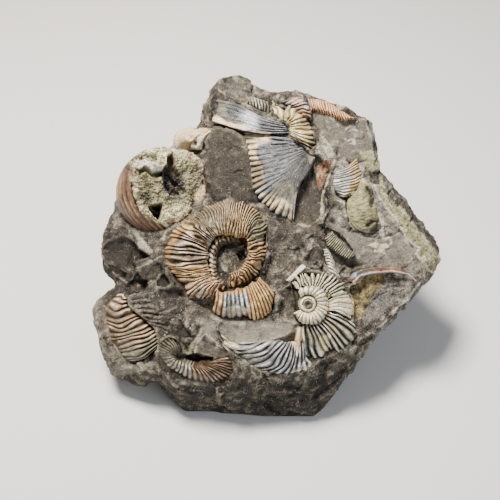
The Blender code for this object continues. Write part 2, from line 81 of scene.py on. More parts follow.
def eased(keys: Keys, at: np.ndarray) -> np.ndarray:
    """Smooth value at places among (place, value) keys.

    Args:
        keys: places and values, in any order.
        at: places to read.

    Returns:
        Catmull-Rom values, held level past the ends.
    """
    place, value = np.array(sorted(keys), float).T
    if len(place) == 1:
        return np.full(np.shape(at), value[0])
    at = np.clip(at, place[0], place[-1])
    k = np.clip(np.searchsorted(place, at, side="right") - 1, 0, len(place) - 2)
    before = np.maximum(k - 1, 0)
    after = np.minimum(k + 2, len(place) - 1)
    width = place[k + 1] - place[k]
    slope1 = (value[k + 1] - value[before]) / (place[k + 1] - place[before]) * width
    slope2 = (value[after] - value[k]) / (place[after] - place[k]) * width
    t = (at - place[k]) / width
    return (value[k] * (2 * t**3 - 3 * t**2 + 1) + slope1 * (t**3 - 2 * t**2 + t)
            + value[k + 1] * (3 * t**2 - 2 * t**3) + slope2 * (t**3 - t**2))


def level(keys: Keys, at: np.ndarray) -> np.ndarray:
    """Value at places, straight between keys."""
    place, value = np.array(sorted(keys), float).T
    return np.interp(at, place, value)


def ramp(value: np.ndarray, low: float, high: float) -> np.ndarray:
    """Smooth step from 0 at low to 1 at high."""
    t = np.clip((value - low) / (high - low), 0.0, 1.0)
    return t * t * (3.0 - 2.0 * t)


def lattice(cell: np.ndarray, seed: int) -> np.ndarray:
    """Number from 0 to 1 for each whole-number cell, the same on every run.

    Args:
        cell: whole numbers, shape (..., 3).
        seed: picks the pattern.

    Returns:
        One number per cell.
    """
    mask = 0xFFFFFFFF
    mixed = (cell[..., 0] * 374761393 + cell[..., 1] * 668265263 + cell[..., 2] * 2246822519
             + seed * 1274126177) & mask
    mixed = ((mixed ^ (mixed >> 15)) * 2654435761) & mask
    mixed = ((mixed ^ (mixed >> 13)) * 1103515245) & mask
    return (mixed ^ (mixed >> 16)) / mask


def soft_noise(points: np.ndarray, size: float, seed: int) -> np.ndarray:
    """Smooth noise from -1 to 1 with lumps of the given size in mm."""
    scaled = points / size
    base = np.floor(scaled).astype(np.int64)
    t = scaled - base
    t = t * t * (3.0 - 2.0 * t)
    total = np.zeros(len(points))
    for corner in np.ndindex(2, 2, 2):
        weight = np.prod(np.where(corner, t, 1.0 - t), axis=1)
        total += weight * lattice(base + np.array(corner), seed)
    return 2.0 * total - 1.0


def rough_noise(points: np.ndarray, size: float, octaves: int, seed: int) -> np.ndarray:
    """Fractal noise of about -1 to 1, its largest lumps of the given size in mm."""
    total = np.zeros(len(points))
    for octave in range(octaves):
        total += soft_noise(points, size / 2**octave, seed + octave) / 2**octave
    return total / (2.0 - 0.5 ** (octaves - 1))


def cell_places(cell: np.ndarray, seed: int) -> np.ndarray:
    """A place from 0 to 1 on each axis for each whole-number cell."""
    return np.stack([lattice(cell, seed + axis) for axis in range(3)], axis=1)


def neighbours(scaled: np.ndarray, seed: int) -> Iterator[tuple[np.ndarray, np.ndarray]]:
    """Cells round each point in turn, and each point's way from the cell's own spot.

    Args:
        scaled: places in cells' widths.
        seed: picks the spots.

    Yields:
        Whole-number cells and ways, each of shape (n, 3).
    """
    base = np.floor(scaled).astype(np.int64)
    for corner in np.ndindex(3, 3, 3):
        cell = base + np.array(corner) - 1
        yield cell, scaled - (cell + cell_places(cell, seed))


def shards(points: np.ndarray, size: float, tilt: float, step: float, seed: int) -> np.ndarray:
    """Height of a surface broken into small tilted facets.

    Args:
        points: places in mm.
        size: width of a facet in mm.
        tilt: slope of the facets.
        step: height between neighbouring facets in mm.
        seed: picks the pattern.

    Returns:
        Height in mm, with a step at each facet's edge.
    """
    nearest = np.full(len(points), np.inf)
    height = np.zeros(len(points))
    for cell, away in neighbours(points / size, seed):
        lean = cell_places(cell, seed + 7) - 0.5
        distance = np.einsum("ij,ij->i", away, away)
        own = np.einsum("ij,ij->i", away, lean) * 2 * tilt * size
        own += (lattice(cell, seed + 11) - 0.5) * step
        closer = distance < nearest
        nearest = np.where(closer, distance, nearest)
        height = np.where(closer, own, height)
    return height


def crystals(points: np.ndarray, size: float, seed: int) -> np.ndarray:
    """Height from 0 to 1 of packed grains, peaked in the middle and creased between."""
    first = np.full(len(points), np.inf)
    second = np.full(len(points), np.inf)
    for _, away in neighbours(points / size, seed):
        distance = np.linalg.norm(away, axis=1)
        second = np.minimum(second, np.maximum(first, distance))
        first = np.minimum(first, distance)
    return np.clip(second - first, 0.0, 1.0)


# ---------------------------------------------------------------- colours and tones

def linear(code: str) -> np.ndarray:
    """Linear red, green and blue of an sRGB hex colour such as #6b5a48."""
    channel = np.array([int(code[i:i + 2], 16) for i in (1, 3, 5)]) / 255.0
    return np.where(channel <= 0.04045, channel / 12.92, ((channel + 0.055) / 1.055) ** 2.4)


@dataclass(frozen=True)
class Tone:
    """Colours of a ribbed surface, from groove to crest, and how it shines; the groove colour is partly
    painted shade and the ridge colour partly painted highlight.
    """

    groove: str
    flank: str
    ridge: str
    gloss: float

    def colors(self) -> np.ndarray:
        """The three colours, linear, as rows."""
        return np.stack([linear(self.groove), linear(self.flank), linear(self.ridge)])


class Shade(Enum):
    """Finishes that the shells and the rock show, and tones of painted shade and painted sheen."""

    COPPER = Tone("#2f1f12", "#b5895b", "#f6e0bc", 0.6)
    TAN = Tone("#33261a", "#b8986c", "#fbead0", 0.55)
    GOLD = Tone("#46331b", "#bf955c", "#f8e0b0", 0.6)
    BRONZE = Tone("#15100b", "#715a43", "#f6e8d4", 0.85)
    STEEL = Tone("#1f1f1f", "#797d80", "#f3f5f7", 0.8)
    # Painted sheen, laid where a polished surface shows a bright reflection.
    SHEEN = Tone("#85898a", "#c4c8c9", "#ffffff", 0.95)
    NAVEL = Tone("#100f0a", "#3f3c2f", "#8f896f", 0.35)
    SLATE = Tone("#201f1e", "#76777a", "#e6e8e8", 0.75)
    GUNMETAL = Tone("#141415", "#414446", "#c4c7c9", 0.85)
    SILVER = Tone("#2c2a26", "#8f8b82", "#f3f0e8", 0.6)
    PEARL = Tone("#2e2f30", "#64686c", "#bcc0c4", 0.85)
    CREAM = Tone("#85764f", "#f6e9c4", "#fffcf0", 0.35)
    CHALK = Tone("#57503a", "#dcd6bc", "#fffdf4", 0.3)
    SALMON = Tone("#947350", "#f5dcb4", "#fff4dc", 0.35)
    BUFF = Tone("#cdb288", "#fbe9c4", "#fff6de", 0.35)
    LICHEN = Tone("#2f2e22", "#86836b", "#dad7c0", 0.25)
    MOSS = Tone("#211f17", "#6c6955", "#c8c4ac", 0.25)
    UMBER = Tone("#100d09", "#382f25", "#85755f", 0.5)
    BARK = Tone("#1b140e", "#5c4732", "#b0957a", 0.5)
    ROSE = Tone("#2c2318", "#a1876a", "#efdfc4", 0.5)
    PEACH = Tone("#80583a", "#dca878", "#ffe8c8", 0.35)
    INK = Tone("#14120d", "#a8a28d", "#fffdf6", 0.7)
    ASH = Tone("#26231d", "#7a7468", "#e2dccd", 0.3)
    FROST = Tone("#403f3c", "#a3a5a4", "#fcfcfa", 0.7)
    RUST = Tone("#3c2819", "#9a6f50", "#d6b496", 0.35)
    NACRE = Tone("#2e2822", "#6f665c", "#d4ccc0", 0.9)
    AMBER = Tone("#3a321e", "#a08c5a", "#dcc892", 0.45)
    MUD = Tone("#110f0c", "#544e44", "#a09888", 0.12)
    # Painted shade for recesses, hollows and gaps.
    SHADOW = Tone("#0f0d0b", "#342f29", "#6c655a", 0.15)
    GRIT = Tone("#26231e", "#969082", "#e6e1d3", 0.12)
    # Painted shade for the rock's foot along the front, under its overhang.
    UMBER_ROCK = Tone("#0b0a08", "#2b261f", "#6a6150", 0.15)
    MOSS_ROCK = Tone("#3f3d26", "#aaa67e", "#e0ddc0", 0.15)
    CHALK_ROCK = Tone("#58543e", "#ccc7ae", "#fbf8ea", 0.15)
    CALCITE = Tone("#332e1b", "#c6bf98", "#faf6e2", 0.35)
    BUTTER = Tone("#8a7544", "#f6e4b2", "#fffae6", 0.4)
    OLIVE = Tone("#221d12", "#a19a70", "#e9e5c8", 0.35)
    CRUST = Tone("#2a281d", "#7f7b66", "#cfccb6", 0.15)
    ROSEWOOD = Tone("#22160d", "#6c4f38", "#dcb888", 0.55)


@dataclass(frozen=True)
class Patch:
    """A stain, scuff or broken area, or a place of painted shade or highlight, drawn on the Eye's picture
    plane.
    """

    outline: Outline
    shade: Shade | str | None = None  # a tone, one flat colour, or nothing
    amount: float = 1.0               # how much it hides what is under it
    width: float = 0.0                # more than 0 makes the outline an open stroke this wide
    soft: float = 2.0                 # breadth of its fading edge
    ragged: float = 2.0               # how far the noise moves its edge
    lift: float = 0.0                 # mm the surface rises
    lumps: float = 0.0                # mm of granular relief
    polish: float = 0.0               # share of the rock's own roughness taken away


# ---------------------------------------------------------------- places

@dataclass(frozen=True)
class Eye:
    """The place that the cluster is looked at from, and its picture plane."""

    elevation: float = 46.0
    distance: float = 240.0
    view: float = 35.0                # degrees across the frame
    side: float = 500.0               # picture plane's side
    target: tuple[float, float, float] = (-5.0, 0.0, 36.0)

    def back(self) -> np.ndarray:
        """Unit vector from the target to the eye."""
        return np.array((0.0, -cos(radians(self.elevation)), sin(radians(self.elevation))))

    def up(self) -> np.ndarray:
        """Unit vector that is upright on the picture plane."""
        return np.array((0.0, sin(radians(self.elevation)), cos(radians(self.elevation))))

    def place(self) -> np.ndarray:
        """Where the eye is, in mm."""
        return np.array(self.target) + self.back() * self.distance

    def focal(self) -> float:
        """Focal length in the picture plane's own units."""
        return self.side / 2 / tan(radians(self.view / 2))

    def picture(self, points: np.ndarray) -> np.ndarray:
        """Where points in mm fall on the picture plane, as (across, down)."""
        away = points - self.place()
        depth = -(away @ self.back())
        across = away[:, 0] / depth * self.focal() + self.side / 2
        down = self.side / 2 - away @ self.up() / depth * self.focal()
        return np.stack([across, down], axis=1)


EYE = Eye()


@dataclass(frozen=True)
class Part:
    """Part of the Eye's picture plane drawn larger, on whose own grid places are read."""

    zoom: float
    left: float = 0.0
    top: float = 0.0

    def __call__(self, *reading: float) -> Outline:
        """Corners on the picture plane, from x and y in turn on the part's grid."""
        return tuple((round(self.left + x / self.zoom, 1), round(self.top + y / self.zoom, 1))
                     for x, y in zip(reading[::2], reading[1::2]))

    def guides(self, *rows: tuple[float, ...]) -> Guides:
        """Rib lines, from rows of a rib's number and then its line's reading."""
        return tuple((number, self(*reading)) for number, *reading in rows)


@dataclass(frozen=True)
class Seat:
    """A shell's own axes: where they stand on the rock and which way they face."""

    centre: tuple[float, float, float]
    azimuth: float
    elevation: float

    def axes(self) -> np.ndarray:
        """Rows are the seat's across, up and outward directions."""
        a = radians(self.azimuth)
        e = radians(self.elevation)
        out = np.array((sin(a) * cos(e), -cos(a) * cos(e), sin(e)))
        across = np.array((cos(a), sin(a), 0.0))
        return np.stack([across, np.cross(out, across), out])

    def place(self, local: np.ndarray) -> np.ndarray:
        """Points on the seat's axes put on the rock."""
        return local @ self.axes() + np.array(self.centre)

    def local(self, points: np.ndarray) -> np.ndarray:
        """Points on the rock read on the seat's axes."""
        return (points - np.array(self.centre)) @ self.axes().T


def distance_to(outline: Outline, at: np.ndarray, closed: bool) -> np.ndarray:
    """Distance to an outline on the picture plane, more than 0 inside a closed one.

    Args:
        outline: corners in order.
        at: places, shape (n, 2).
        closed: whether the last corner joins the first.

    Returns:
        Distance for each place; for an open line, its negative.
    """
    corners = np.array(outline, float)
    ends = np.roll(corners, -1, axis=0)
    if not closed:
        corners, ends = corners[:-1], ends[:-1]
    nearest = np.full(len(at), np.inf)
    inside = np.zeros(len(at), bool)
    for start, end in zip(corners, ends):
        along = end - start
        away = at - start
        share = np.clip(away @ along / (along @ along + 1e-12), 0.0, 1.0)
        gap = np.linalg.norm(away - share[:, None] * along, axis=1)
        nearest = np.minimum(nearest, gap)
        crosses = (start[1] > at[:, 1]) != (end[1] > at[:, 1])
        rise = along[1] if along[1] else 1e-12
        inside ^= crosses & (at[:, 0] < start[0] + (at[:, 1] - start[1]) / rise * along[0])
    return np.where(inside, nearest, -nearest) if closed else -nearest


# ---------------------------------------------------------------- meshes

def fetched(items: bpy.types.bpy_prop_collection, name: str, width: int = 3,
            kind: type = np.float32) -> np.ndarray:
    """One property of every item in a mesh, a row for each."""
    flat = np.empty(len(items) * width, kind)
    items.foreach_get(name, flat)
    return flat.reshape(-1, width)


def read(obj: bpy.types.Object) -> np.ndarray:
    """Vertices of an object in mm on the seats' axes."""
    return fetched(obj.data.vertices, "co").astype(float) / MM - SEAT_SHIFT


def write(obj: bpy.types.Object, points: np.ndarray) -> None:
    """Move the vertices of an object to places in mm on the seats' axes."""
    obj.data.vertices.foreach_set("co", ((points + SEAT_SHIFT) * MM).ravel().astype(np.float32))
    obj.data.update()


def normals(obj: bpy.types.Object) -> np.ndarray:
    """Vertex normals of an object."""
    return fetched(obj.data.vertices, "normal").astype(float)


def store(obj: bpy.types.Object, name: str, values: np.ndarray) -> None:
    """Keep one number, or one linear colour, per vertex as an attribute."""
    kind = "FLOAT" if values.ndim == 1 else "FLOAT_COLOR"
    slot = obj.data.attributes.get(name) or obj.data.attributes.new(name, kind, "POINT")
    if values.ndim == 1:
        slot.data.foreach_set("value", values.astype(np.float32))
    else:
        whole = np.concatenate([values, np.ones((len(values), 1))], axis=1)
        slot.data.foreach_set("color", whole.ravel().astype(np.float32))


def stored(obj: bpy.types.Object, name: str) -> np.ndarray:
    """The number per vertex kept under a name."""
    return fetched(obj.data.attributes[name].data, "value", 1)[:, 0].astype(float)


def evened(obj: bpy.types.Object, values: np.ndarray, rounds: int) -> np.ndarray:
    """Values per vertex averaged with their neighbours a number of times."""
    ends = fetched(obj.data.edges, "vertices", 2, np.int32)
    first, second = ends.T
    count = np.bincount(ends.ravel(), minlength=len(values)) + 1.0
    values = values.reshape(len(count), -1).copy()
    for _ in range(rounds):
        for column in values.T:
            near = np.bincount(first, column[second], len(count))
            near += np.bincount(second, column[first], len(count))
            column[:] = (column + near) / count
    return values


def proudness(obj: bpy.types.Object, rounds: int) -> np.ndarray:
    """How far each vertex stands above its surroundings, in mm."""
    points = read(obj)
    return np.einsum("ij,ij->i", points - evened(obj, points, rounds), normals(obj))


def alone(obj: bpy.types.Object) -> None:
    """Select this object and nothing else."""
    bpy.ops.object.select_all(action="DESELECT")
    obj.select_set(True)
    bpy.context.view_layer.objects.active = obj


@contextmanager
def editing(obj: bpy.types.Object) -> Iterator[None]:
    """Edit mode on one object, with all of it selected."""
    alone(obj)
    bpy.ops.object.mode_set(mode="EDIT")
    bpy.ops.mesh.select_all(action="SELECT")
    yield
    bpy.ops.object.mode_set(mode="OBJECT")


def apply(obj: bpy.types.Object, kind: str, **settings: object) -> None:
    """Add a modifier with its settings and apply it."""
    alone(obj)
    modifier = obj.modifiers.new(kind.lower(), kind)
    for name, value in settings.items():
        setattr(modifier, name, value)
    bpy.ops.object.modifier_apply(modifier=modifier.name)


def weld(obj: bpy.types.Object) -> None:
    """Merge vertices that meet and face the surface outwards."""
    with editing(obj):
        bpy.ops.mesh.remove_doubles(threshold=WELD_GAP * MM)
        bpy.ops.mesh.normals_make_consistent(inside=False)


def copy_of(node: str) -> bpy.types.Object:
    """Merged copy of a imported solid's mesh, in an object of its own."""
    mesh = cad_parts[node].data.copy()
    mesh.materials.clear()
    obj = bpy.data.objects.new(node + "_copy", mesh)
    bpy.context.scene.collection.objects.link(obj)
    weld(obj)
    return obj


def joined(name: str, pieces: list[bpy.types.Object]) -> bpy.types.Object:
    """Several objects made one."""
    alone(pieces[0])
    for piece in pieces:
        piece.select_set(True)
    bpy.ops.object.join()
    pieces[0].name = name
    return pieces[0]


def sheet(name: str, points: np.ndarray) -> bpy.types.Object:
    """Grid primitive bent to the given places.

    Args:
        name: name of the piece.
        points: places in mm on the seats' axes, shape (rows + 1, columns + 1, 3).

    Returns:
        The open sheet.
    """
    rows, columns = points.shape[0] - 1, points.shape[1] - 1
    bpy.ops.object.select_all(action="DESELECT")
    bpy.ops.mesh.primitive_grid_add(x_subdivisions=columns, y_subdivisions=rows, size=1.0)
    obj = bpy.context.active_object
    obj.name = name
    obj.data.name = name
    write(obj, points.reshape(-1, 3))
    return obj


# ---------------------------------------------------------------- shells

@dataclass(frozen=True)
class Ring:
    """Outline round a seat's own middle; angles are in degrees, radii in mm."""

    edge: Keys             # outer edge's radius, from one end to the other
    inner: Keys = ()       # inner edge's radius, for an open strip

    def inside(self, seat: Seat, points: np.ndarray) -> np.ndarray:
        """How far inside the outline points lie over its seat, in mm."""
        local = seat.local(points)
        first, last = self.edge[0][0], self.edge[-1][0]
        way = 1.0 if last > first else -1.0
        angle = np.degrees(np.arctan2(local[:, 1], local[:, 0]))
        turn = (angle - first) * way % 360.0
        span = abs(last - first)
        radius = np.hypot(local[:, 0], local[:, 1])
        reach = eased(self.edge, first + way * turn) - radius
        if self.inner:
            beyond = np.minimum(turn, span - turn)
            beyond = np.where(turn > span, -np.minimum(turn - span, 360.0 - turn), beyond)
            held = first + way * np.minimum(turn, span)
            reach = np.minimum(reach, radius - eased(self.inner, held))
            reach = np.minimum(reach, np.radians(beyond) * radius)
        return reach


@dataclass(frozen=True)
class Dome(Ring):
    """Patch of shell or crust, closed all round and raised over its seat; sizes in mm."""

    rows: int = 300
    columns: int = 20
    rim: float = 0.0              # height of its edge over the seat
    top: float = 0.6              # height of its middle, before the crown
    crown: float = 0.7            # rise of its shoulder
    fall: float = 0.7             # how steeply the crown starts: less is steeper
    line_step: float = 6.0        # degrees from growth line to growth line
    line_start: float = 120.075019  # number of the line at 0 degrees
    crisp: float = 0.7            # less makes rounder crests and finer grooves
    wander: float = 0.25          # lines' unevenness, in lines
    ragged: float = 0.2           # roughness of its edge
    sink: float = 4.0             # depth of its floor under the seat

    def surface(self, seed: int) -> tuple[np.ndarray, np.ndarray]:
        """Upper surface.

        Args:
            seed: picks the unevenness.

        Returns:
            Places on the seat's axes, shape (rows, columns, 3), and each one's crest, 0 to 1.
        """
        angle = np.linspace(self.edge[0][0], self.edge[-1][0], self.rows + 1)[:, None]
        even = np.linspace(0.0, 1.0, self.columns + 1)[None, :]
        share = 0.5 * even + 0.5 * (0.5 - 0.5 * np.cos(pi * even))
        turned = np.radians(angle)
        outer = eased(self.edge, angle)
        spot = np.concatenate([np.cos(turned), np.sin(turned), angle / 360.0], axis=1) * outer
        worn = rough_noise(spot, 2.2, 3, seed)[:, None] * self.ragged
        worn *= ramp(np.minimum(angle - angle.min(), angle.max() - angle), 0.0, 12.0)
        radius = outer + worn + (outer * 0.04 - (outer + worn)) * share
        rise = np.sin(pi / 2 * share) ** self.fall * (1 - 0.25 * share)
        height = self.rim + rise * self.crown + (self.top - self.rim) * ramp(share, 0.0, 0.8)
        local = np.stack([radius * np.cos(turned), radius * np.sin(turned),
                          np.broadcast_to(height, radius.shape)], axis=2)
        reach = level(((0, 0.6), (0.15, 1.0), (0.85, 1.0), (1, 0.3)), share)
        reach = reach * ramp(share, 0.0, 0.04) * (1 - ramp(share, 0.96, 1.0))
        return local, self.lines(angle, share, seed) * np.minimum(1.0, reach + 0.35)

    def lines(self, angle: np.ndarray, share: np.ndarray, seed: int) -> np.ndarray:
        """Growth lines from 0 in a groove to 1 on a crest."""
        shape = (len(angle), share.shape[1])
        phase = np.broadcast_to(angle / self.line_step + self.line_start, shape)
        flat = np.stack([phase.ravel() * 0.8, np.broadcast_to(share * 2.5, shape).ravel(),
                         np.zeros(phase.size)], axis=1)
        phase = phase + soft_noise(flat, 1.0, seed + 20).reshape(shape) * self.wander
        strong = 0.8 + 0.2 * soft_noise(flat + 9.0, 0.9, seed + 21).reshape(shape)
        return (0.6 * np.abs(np.cos(pi * phase)) ** self.crisp + 0.4 * np.cos(pi * phase) ** 4) * strong

    def closed(self, seed: int) -> tuple[np.ndarray, np.ndarray]:
        """The surface with its side turned down into the rock and its underside.

        Args:
            seed: picks the unevenness.

        Returns:
            Places on the seat's axes and crests; some places meet and are to be welded.
        """
        top, crest = self.surface(seed)
        rim = top[:, 0]
        out = outward(rim[:, :2], rim[:, :2] - top[:, 1, :2])
        walls = []
        for spread, height in ((0.3, rim[:, 2] - 0.35), (0.55, rim[:, 2] - 1.3), (0.7, -self.sink)):
            ring = rim + np.concatenate([out * spread, np.zeros((len(rim), 1))], axis=1)
            ring[:, 2] = height
            walls.insert(0, ring)
        floor = np.broadcast_to((0.0, 0.0, -self.sink), rim.shape)
        middle = np.broadcast_to(top[:, -1].mean(axis=0), rim.shape)
        whole = np.stack([floor, *walls, *np.moveaxis(top, 1, 0), middle], axis=1)
        marks = np.pad(crest, ((0, 0), (len(walls) + 1, 1)), mode="edge")
        marks[:, :len(walls) + 1] *= 0.5
        return whole, marks

    def build(self, name: str, seat: Seat, seed: int) -> bpy.types.Object:
        """Closed piece, with its crest and its ribs' height kept per vertex."""
        local, crest = self.closed(seed)
        obj = sheet(name, seat.place(local.reshape(-1, 3)).reshape(local.shape))
        store(obj, "crest", crest.ravel())
        store(obj, "relief", np.zeros(crest.size))
        weld(obj)
        return obj


def outward(line: np.ndarray, away: np.ndarray) -> np.ndarray:
    """Unit normals of a plan line, on the side that away points to."""
    along = np.gradient(line, axis=0)
    side = np.stack([along[:, 1], -along[:, 0]], axis=1)
    side *= np.sign(np.sum(side * away, axis=1, keepdims=True) + 1e-12)
    return side / (np.linalg.norm(side, axis=1, keepdims=True) + 1e-9)


@dataclass(frozen=True)
class Loft:
    """Ribbed patch of shell that follows rib lines drawn on the Eye's picture plane.

    Each guide is a rib's number and its line from the inner end outwards.  Sizes are in mm.
    """

    guides: Guides
    rows: int = 260
    columns: int = 22
    lift: float = 0.1                   # height of its edges over the seat
    tilt: float = 0.0                   # how much higher its outer end lies
    crown: float = 2.0                  # rise between its edges
    fall: float = 0.7                   # how steeply the crown starts: less is steeper
    ends: float = 0.05                  # share of its length over which the crown starts and stops
    bulge: Keys = ((0, 1.0),)           # crown's share by place from the first guide to the last
    rib_height: float = 0.8             # from groove to crest
    rib_reach: Keys = ((0, 0.5), (0.15, 1.0), (0.9, 1.0), (1, 0.7))  # its share, from the inner end
    crisp: float = 1.0                  # less makes rounder crests and finer grooves
    fork: float = 0.0                   # where each rib splits in two, from the inner end
    forked: Keys = ((0, 1.0),)          # how far they split, from the first guide to the last
    knob: float = 0.0                   # height of the knobs where the ribs split
    wander: float = 0.2                 # ribs' unevenness, in ribs
    ragged: float = 0.35                # roughness of the outer edge
    scallop: float = 0.3                # how far crests stand out at the outer edge
    sink: float = 3.0                   # depth of its floor under the seat

    def lines(self) -> tuple[np.ndarray, np.ndarray]:
        """Rib number of each row, and the picture plane's grid of rows and columns."""
        share = np.linspace(0.0, 1.0, self.columns + 1)
        numbers = np.array([number for number, _ in self.guides])
        rows = np.linspace(numbers[0], numbers[-1], self.rows + 1)
        drawn = np.zeros((len(numbers), self.columns + 1, 2))
        for spot, (_, line) in enumerate(self.guides):
            corners = np.array(line, float)
            steps = np.linalg.norm(np.diff(corners, axis=0), axis=1)
            along = np.concatenate([[0.0], np.cumsum(steps)]) / steps.sum()
            for axis in (0, 1):
                drawn[spot, :, axis] = eased(tuple(zip(along, corners[:, axis])), share)
        grid = np.zeros((self.rows + 1, self.columns + 1, 2))
        for column in range(self.columns + 1):
            for axis in (0, 1):
                grid[:, column, axis] = eased(tuple(zip(numbers, drawn[:, column, axis])), rows)
        return rows, grid

    def lowest(self) -> float:
        """Height of its lower end over the seat."""
        return self.lift + min(self.tilt, 0.0)

    def outline(self) -> Outline:
        """Its border on the picture plane."""
        grid = self.lines()[1][::8]
        ring = np.concatenate([grid[:, 0], grid[-1], grid[::-1, -1], grid[0][::-1]])
        return tuple(tuple(corner) for corner in ring)

    def inside(self, seat: Seat, points: np.ndarray) -> np.ndarray:
        """How far inside its border points lie, in mm on the picture plane."""
        picture = EYE.picture(points)
        outline = self.outline()
        corners = np.array(outline)
        near = np.all((picture > corners.min(axis=0) - 3) & (picture < corners.max(axis=0) + 3), axis=1)
        reach = np.full(len(points), -9.0)
        reach[near] = distance_to(outline, picture[near], True) * EYE.distance / EYE.focal()
        return reach

    def ribs(self, number: np.ndarray, share: np.ndarray, seed: int) -> tuple[np.ndarray, np.ndarray]:
        """Crest from 0 in a groove to 1 on a rib, and the knobs' height in mm."""
        place = np.stack([number.ravel() * 0.7, share.ravel() * 2.5, np.zeros(number.size)], axis=1)
        drift = soft_noise(place, 1.0, seed + 20).reshape(number.shape)
        phase = number + drift * self.wander
        single = np.abs(np.cos(pi * phase)) ** self.crisp
        strong = 0.86 + 0.14 * soft_noise(place + 9.0, 0.8, seed + 21).reshape(number.shape)
        beads = np.stack([number.ravel(), share.ravel() * 9.0, np.zeros(number.size)], axis=1)
        strong = strong + 0.12 * soft_noise(beads, 1.0, seed + 25).reshape(number.shape)
        knobs = np.zeros_like(single)
        if self.fork:
            double = 0.6 * np.abs(np.cos(2 * pi * phase)) ** self.crisp + 0.4 * np.cos(2 * pi * phase) ** 4
            spot = self.fork + 0.08 * soft_noise(place + 5.0, 1.2, seed + 22).reshape(number.shape)
            length = (number - number.min()) / (number.max() - number.min())
            mixed = ramp(share - spot, -0.05, 0.05) * eased(self.forked, length)
            knobs = self.knob * single**2 * np.exp(-((share - spot) / 0.07) ** 2)
            single = single * (1 - mixed) + double * mixed
        return single * strong, knobs

    def build(self, name: str, seat: Seat, seed: int) -> bpy.types.Object:
        """Closed piece: the surface, straight walls down into the rock, and a floor.

        Args:
            name: name of the piece.
            seat: the plane that it rises from.
            seed: picks the unevenness.

        Returns:
            The object, with its crest and its ribs' height kept per vertex.
        """
        rows, grid = self.lines()
        share = np.broadcast_to(np.linspace(0.0, 1.0, self.columns + 1), (len(rows), self.columns + 1))
        number = np.broadcast_to(rows[:, None], share.shape)
        crest, knobs = self.ribs(number, share, seed)
        spot = np.concatenate([grid.reshape(-1, 2) / PER_MM, np.zeros((grid[..., 0].size, 1))], axis=1)
        worn = rough_noise(spot, 1.8, 3, seed + 30).reshape(share.shape) * self.ragged
        along = np.gradient(grid, axis=1)
        along /= np.linalg.norm(along, axis=2, keepdims=True) + 1e-9
        out = (worn + (crest - 0.5) * self.scallop) * PER_MM * ramp(share, 0.6, 1.0)
        out -= worn * PER_MM * ramp(1 - share, 0.6, 1.0)
        grid = grid + along * out[..., None]
        across = np.gradient(grid, axis=0)
        across /= np.linalg.norm(across, axis=2, keepdims=True) + 1e-9
        length = (number - rows[0]) / (rows[-1] - rows[0])
        edge = ramp(length, 0.08, 0.0001) + ramp(length, 0.92, 1.0)
        grid = grid + across * (worn * 2.2 * edge)[..., None]
        arch = np.sin(pi * share) ** self.fall * eased(self.bulge, length)
        arch *= ramp(length, 0.0, self.ends) ** 0.5 * ramp(1 - length, 0.0, self.ends) ** 0.5
        strength = level(self.rib_reach, share)
        relief = (crest - LEVEL_CREST) * self.rib_height * strength + knobs
        strength = np.minimum(strength, 1.0)
        crest = FLANK_CREST + (crest - FLANK_CREST) * strength * min(2.0 * self.rib_height, 1.0)
        height = self.lift + self.tilt * share + self.crown * arch + relief
        eye = seat.local(EYE.place()[None])[0]
        rays = np.stack([(grid[..., 0] - EYE.side / 2), EYE.side / 2 - grid[..., 1]], axis=2)
        way = (rays[..., :1] * np.array((1.0, 0.0, 0.0)) + rays[..., 1:] * EYE.up()
               - EYE.back() * EYE.focal()) @ seat.axes().T
        local = eye + way * ((height - eye[2]) / way[..., 2])[..., None]
        obj = sheet(name, seat.place(local.reshape(-1, 3)).reshape(local.shape))
        store(obj, "crest", crest.ravel())
        store(obj, "relief", relief.ravel())
        wall(obj, seat, max(self.sink, 2.5 - self.lowest()))
        return obj


def chip(corners: Outline, lift: float, crown: float) -> Loft:
    """Smooth four-cornered fragment."""
    first, second, third, fourth = corners
    return Loft(((0, (first, second)), (1, (fourth, third))), rows=60, columns=24, lift=lift, crown=crown,
                rib_height=0.0, ends=0.3, ragged=0.25, scallop=0.0)


def wall(obj: bpy.types.Object, seat: Seat, depth: float) -> None:
    """Close a sheet with straight walls down to a depth in mm under its seat, and a floor."""
    with editing(obj):
        bpy.ops.mesh.select_mode(type="EDGE")
        bpy.ops.mesh.select_all(action="DESELECT")
        bpy.ops.mesh.select_non_manifold()
        bpy.ops.mesh.extrude_edges_indiv()
    chosen = fetched(obj.data.vertices, "select", 1, bool)[:, 0]
    points = read(obj)
    local = seat.local(points[chosen])
    local[:, 2] = -depth
    points[chosen] = seat.place(local)
    write(obj, points)
    bpy.ops.object.mode_set(mode="EDIT")
    bpy.ops.mesh.edge_face_add()
    bpy.ops.mesh.select_all(action="SELECT")
    bpy.ops.mesh.normals_make_consistent(inside=False)
    bpy.ops.object.mode_set(mode="OBJECT")


# ---------------------------------------------------------------- colour laid on a surface

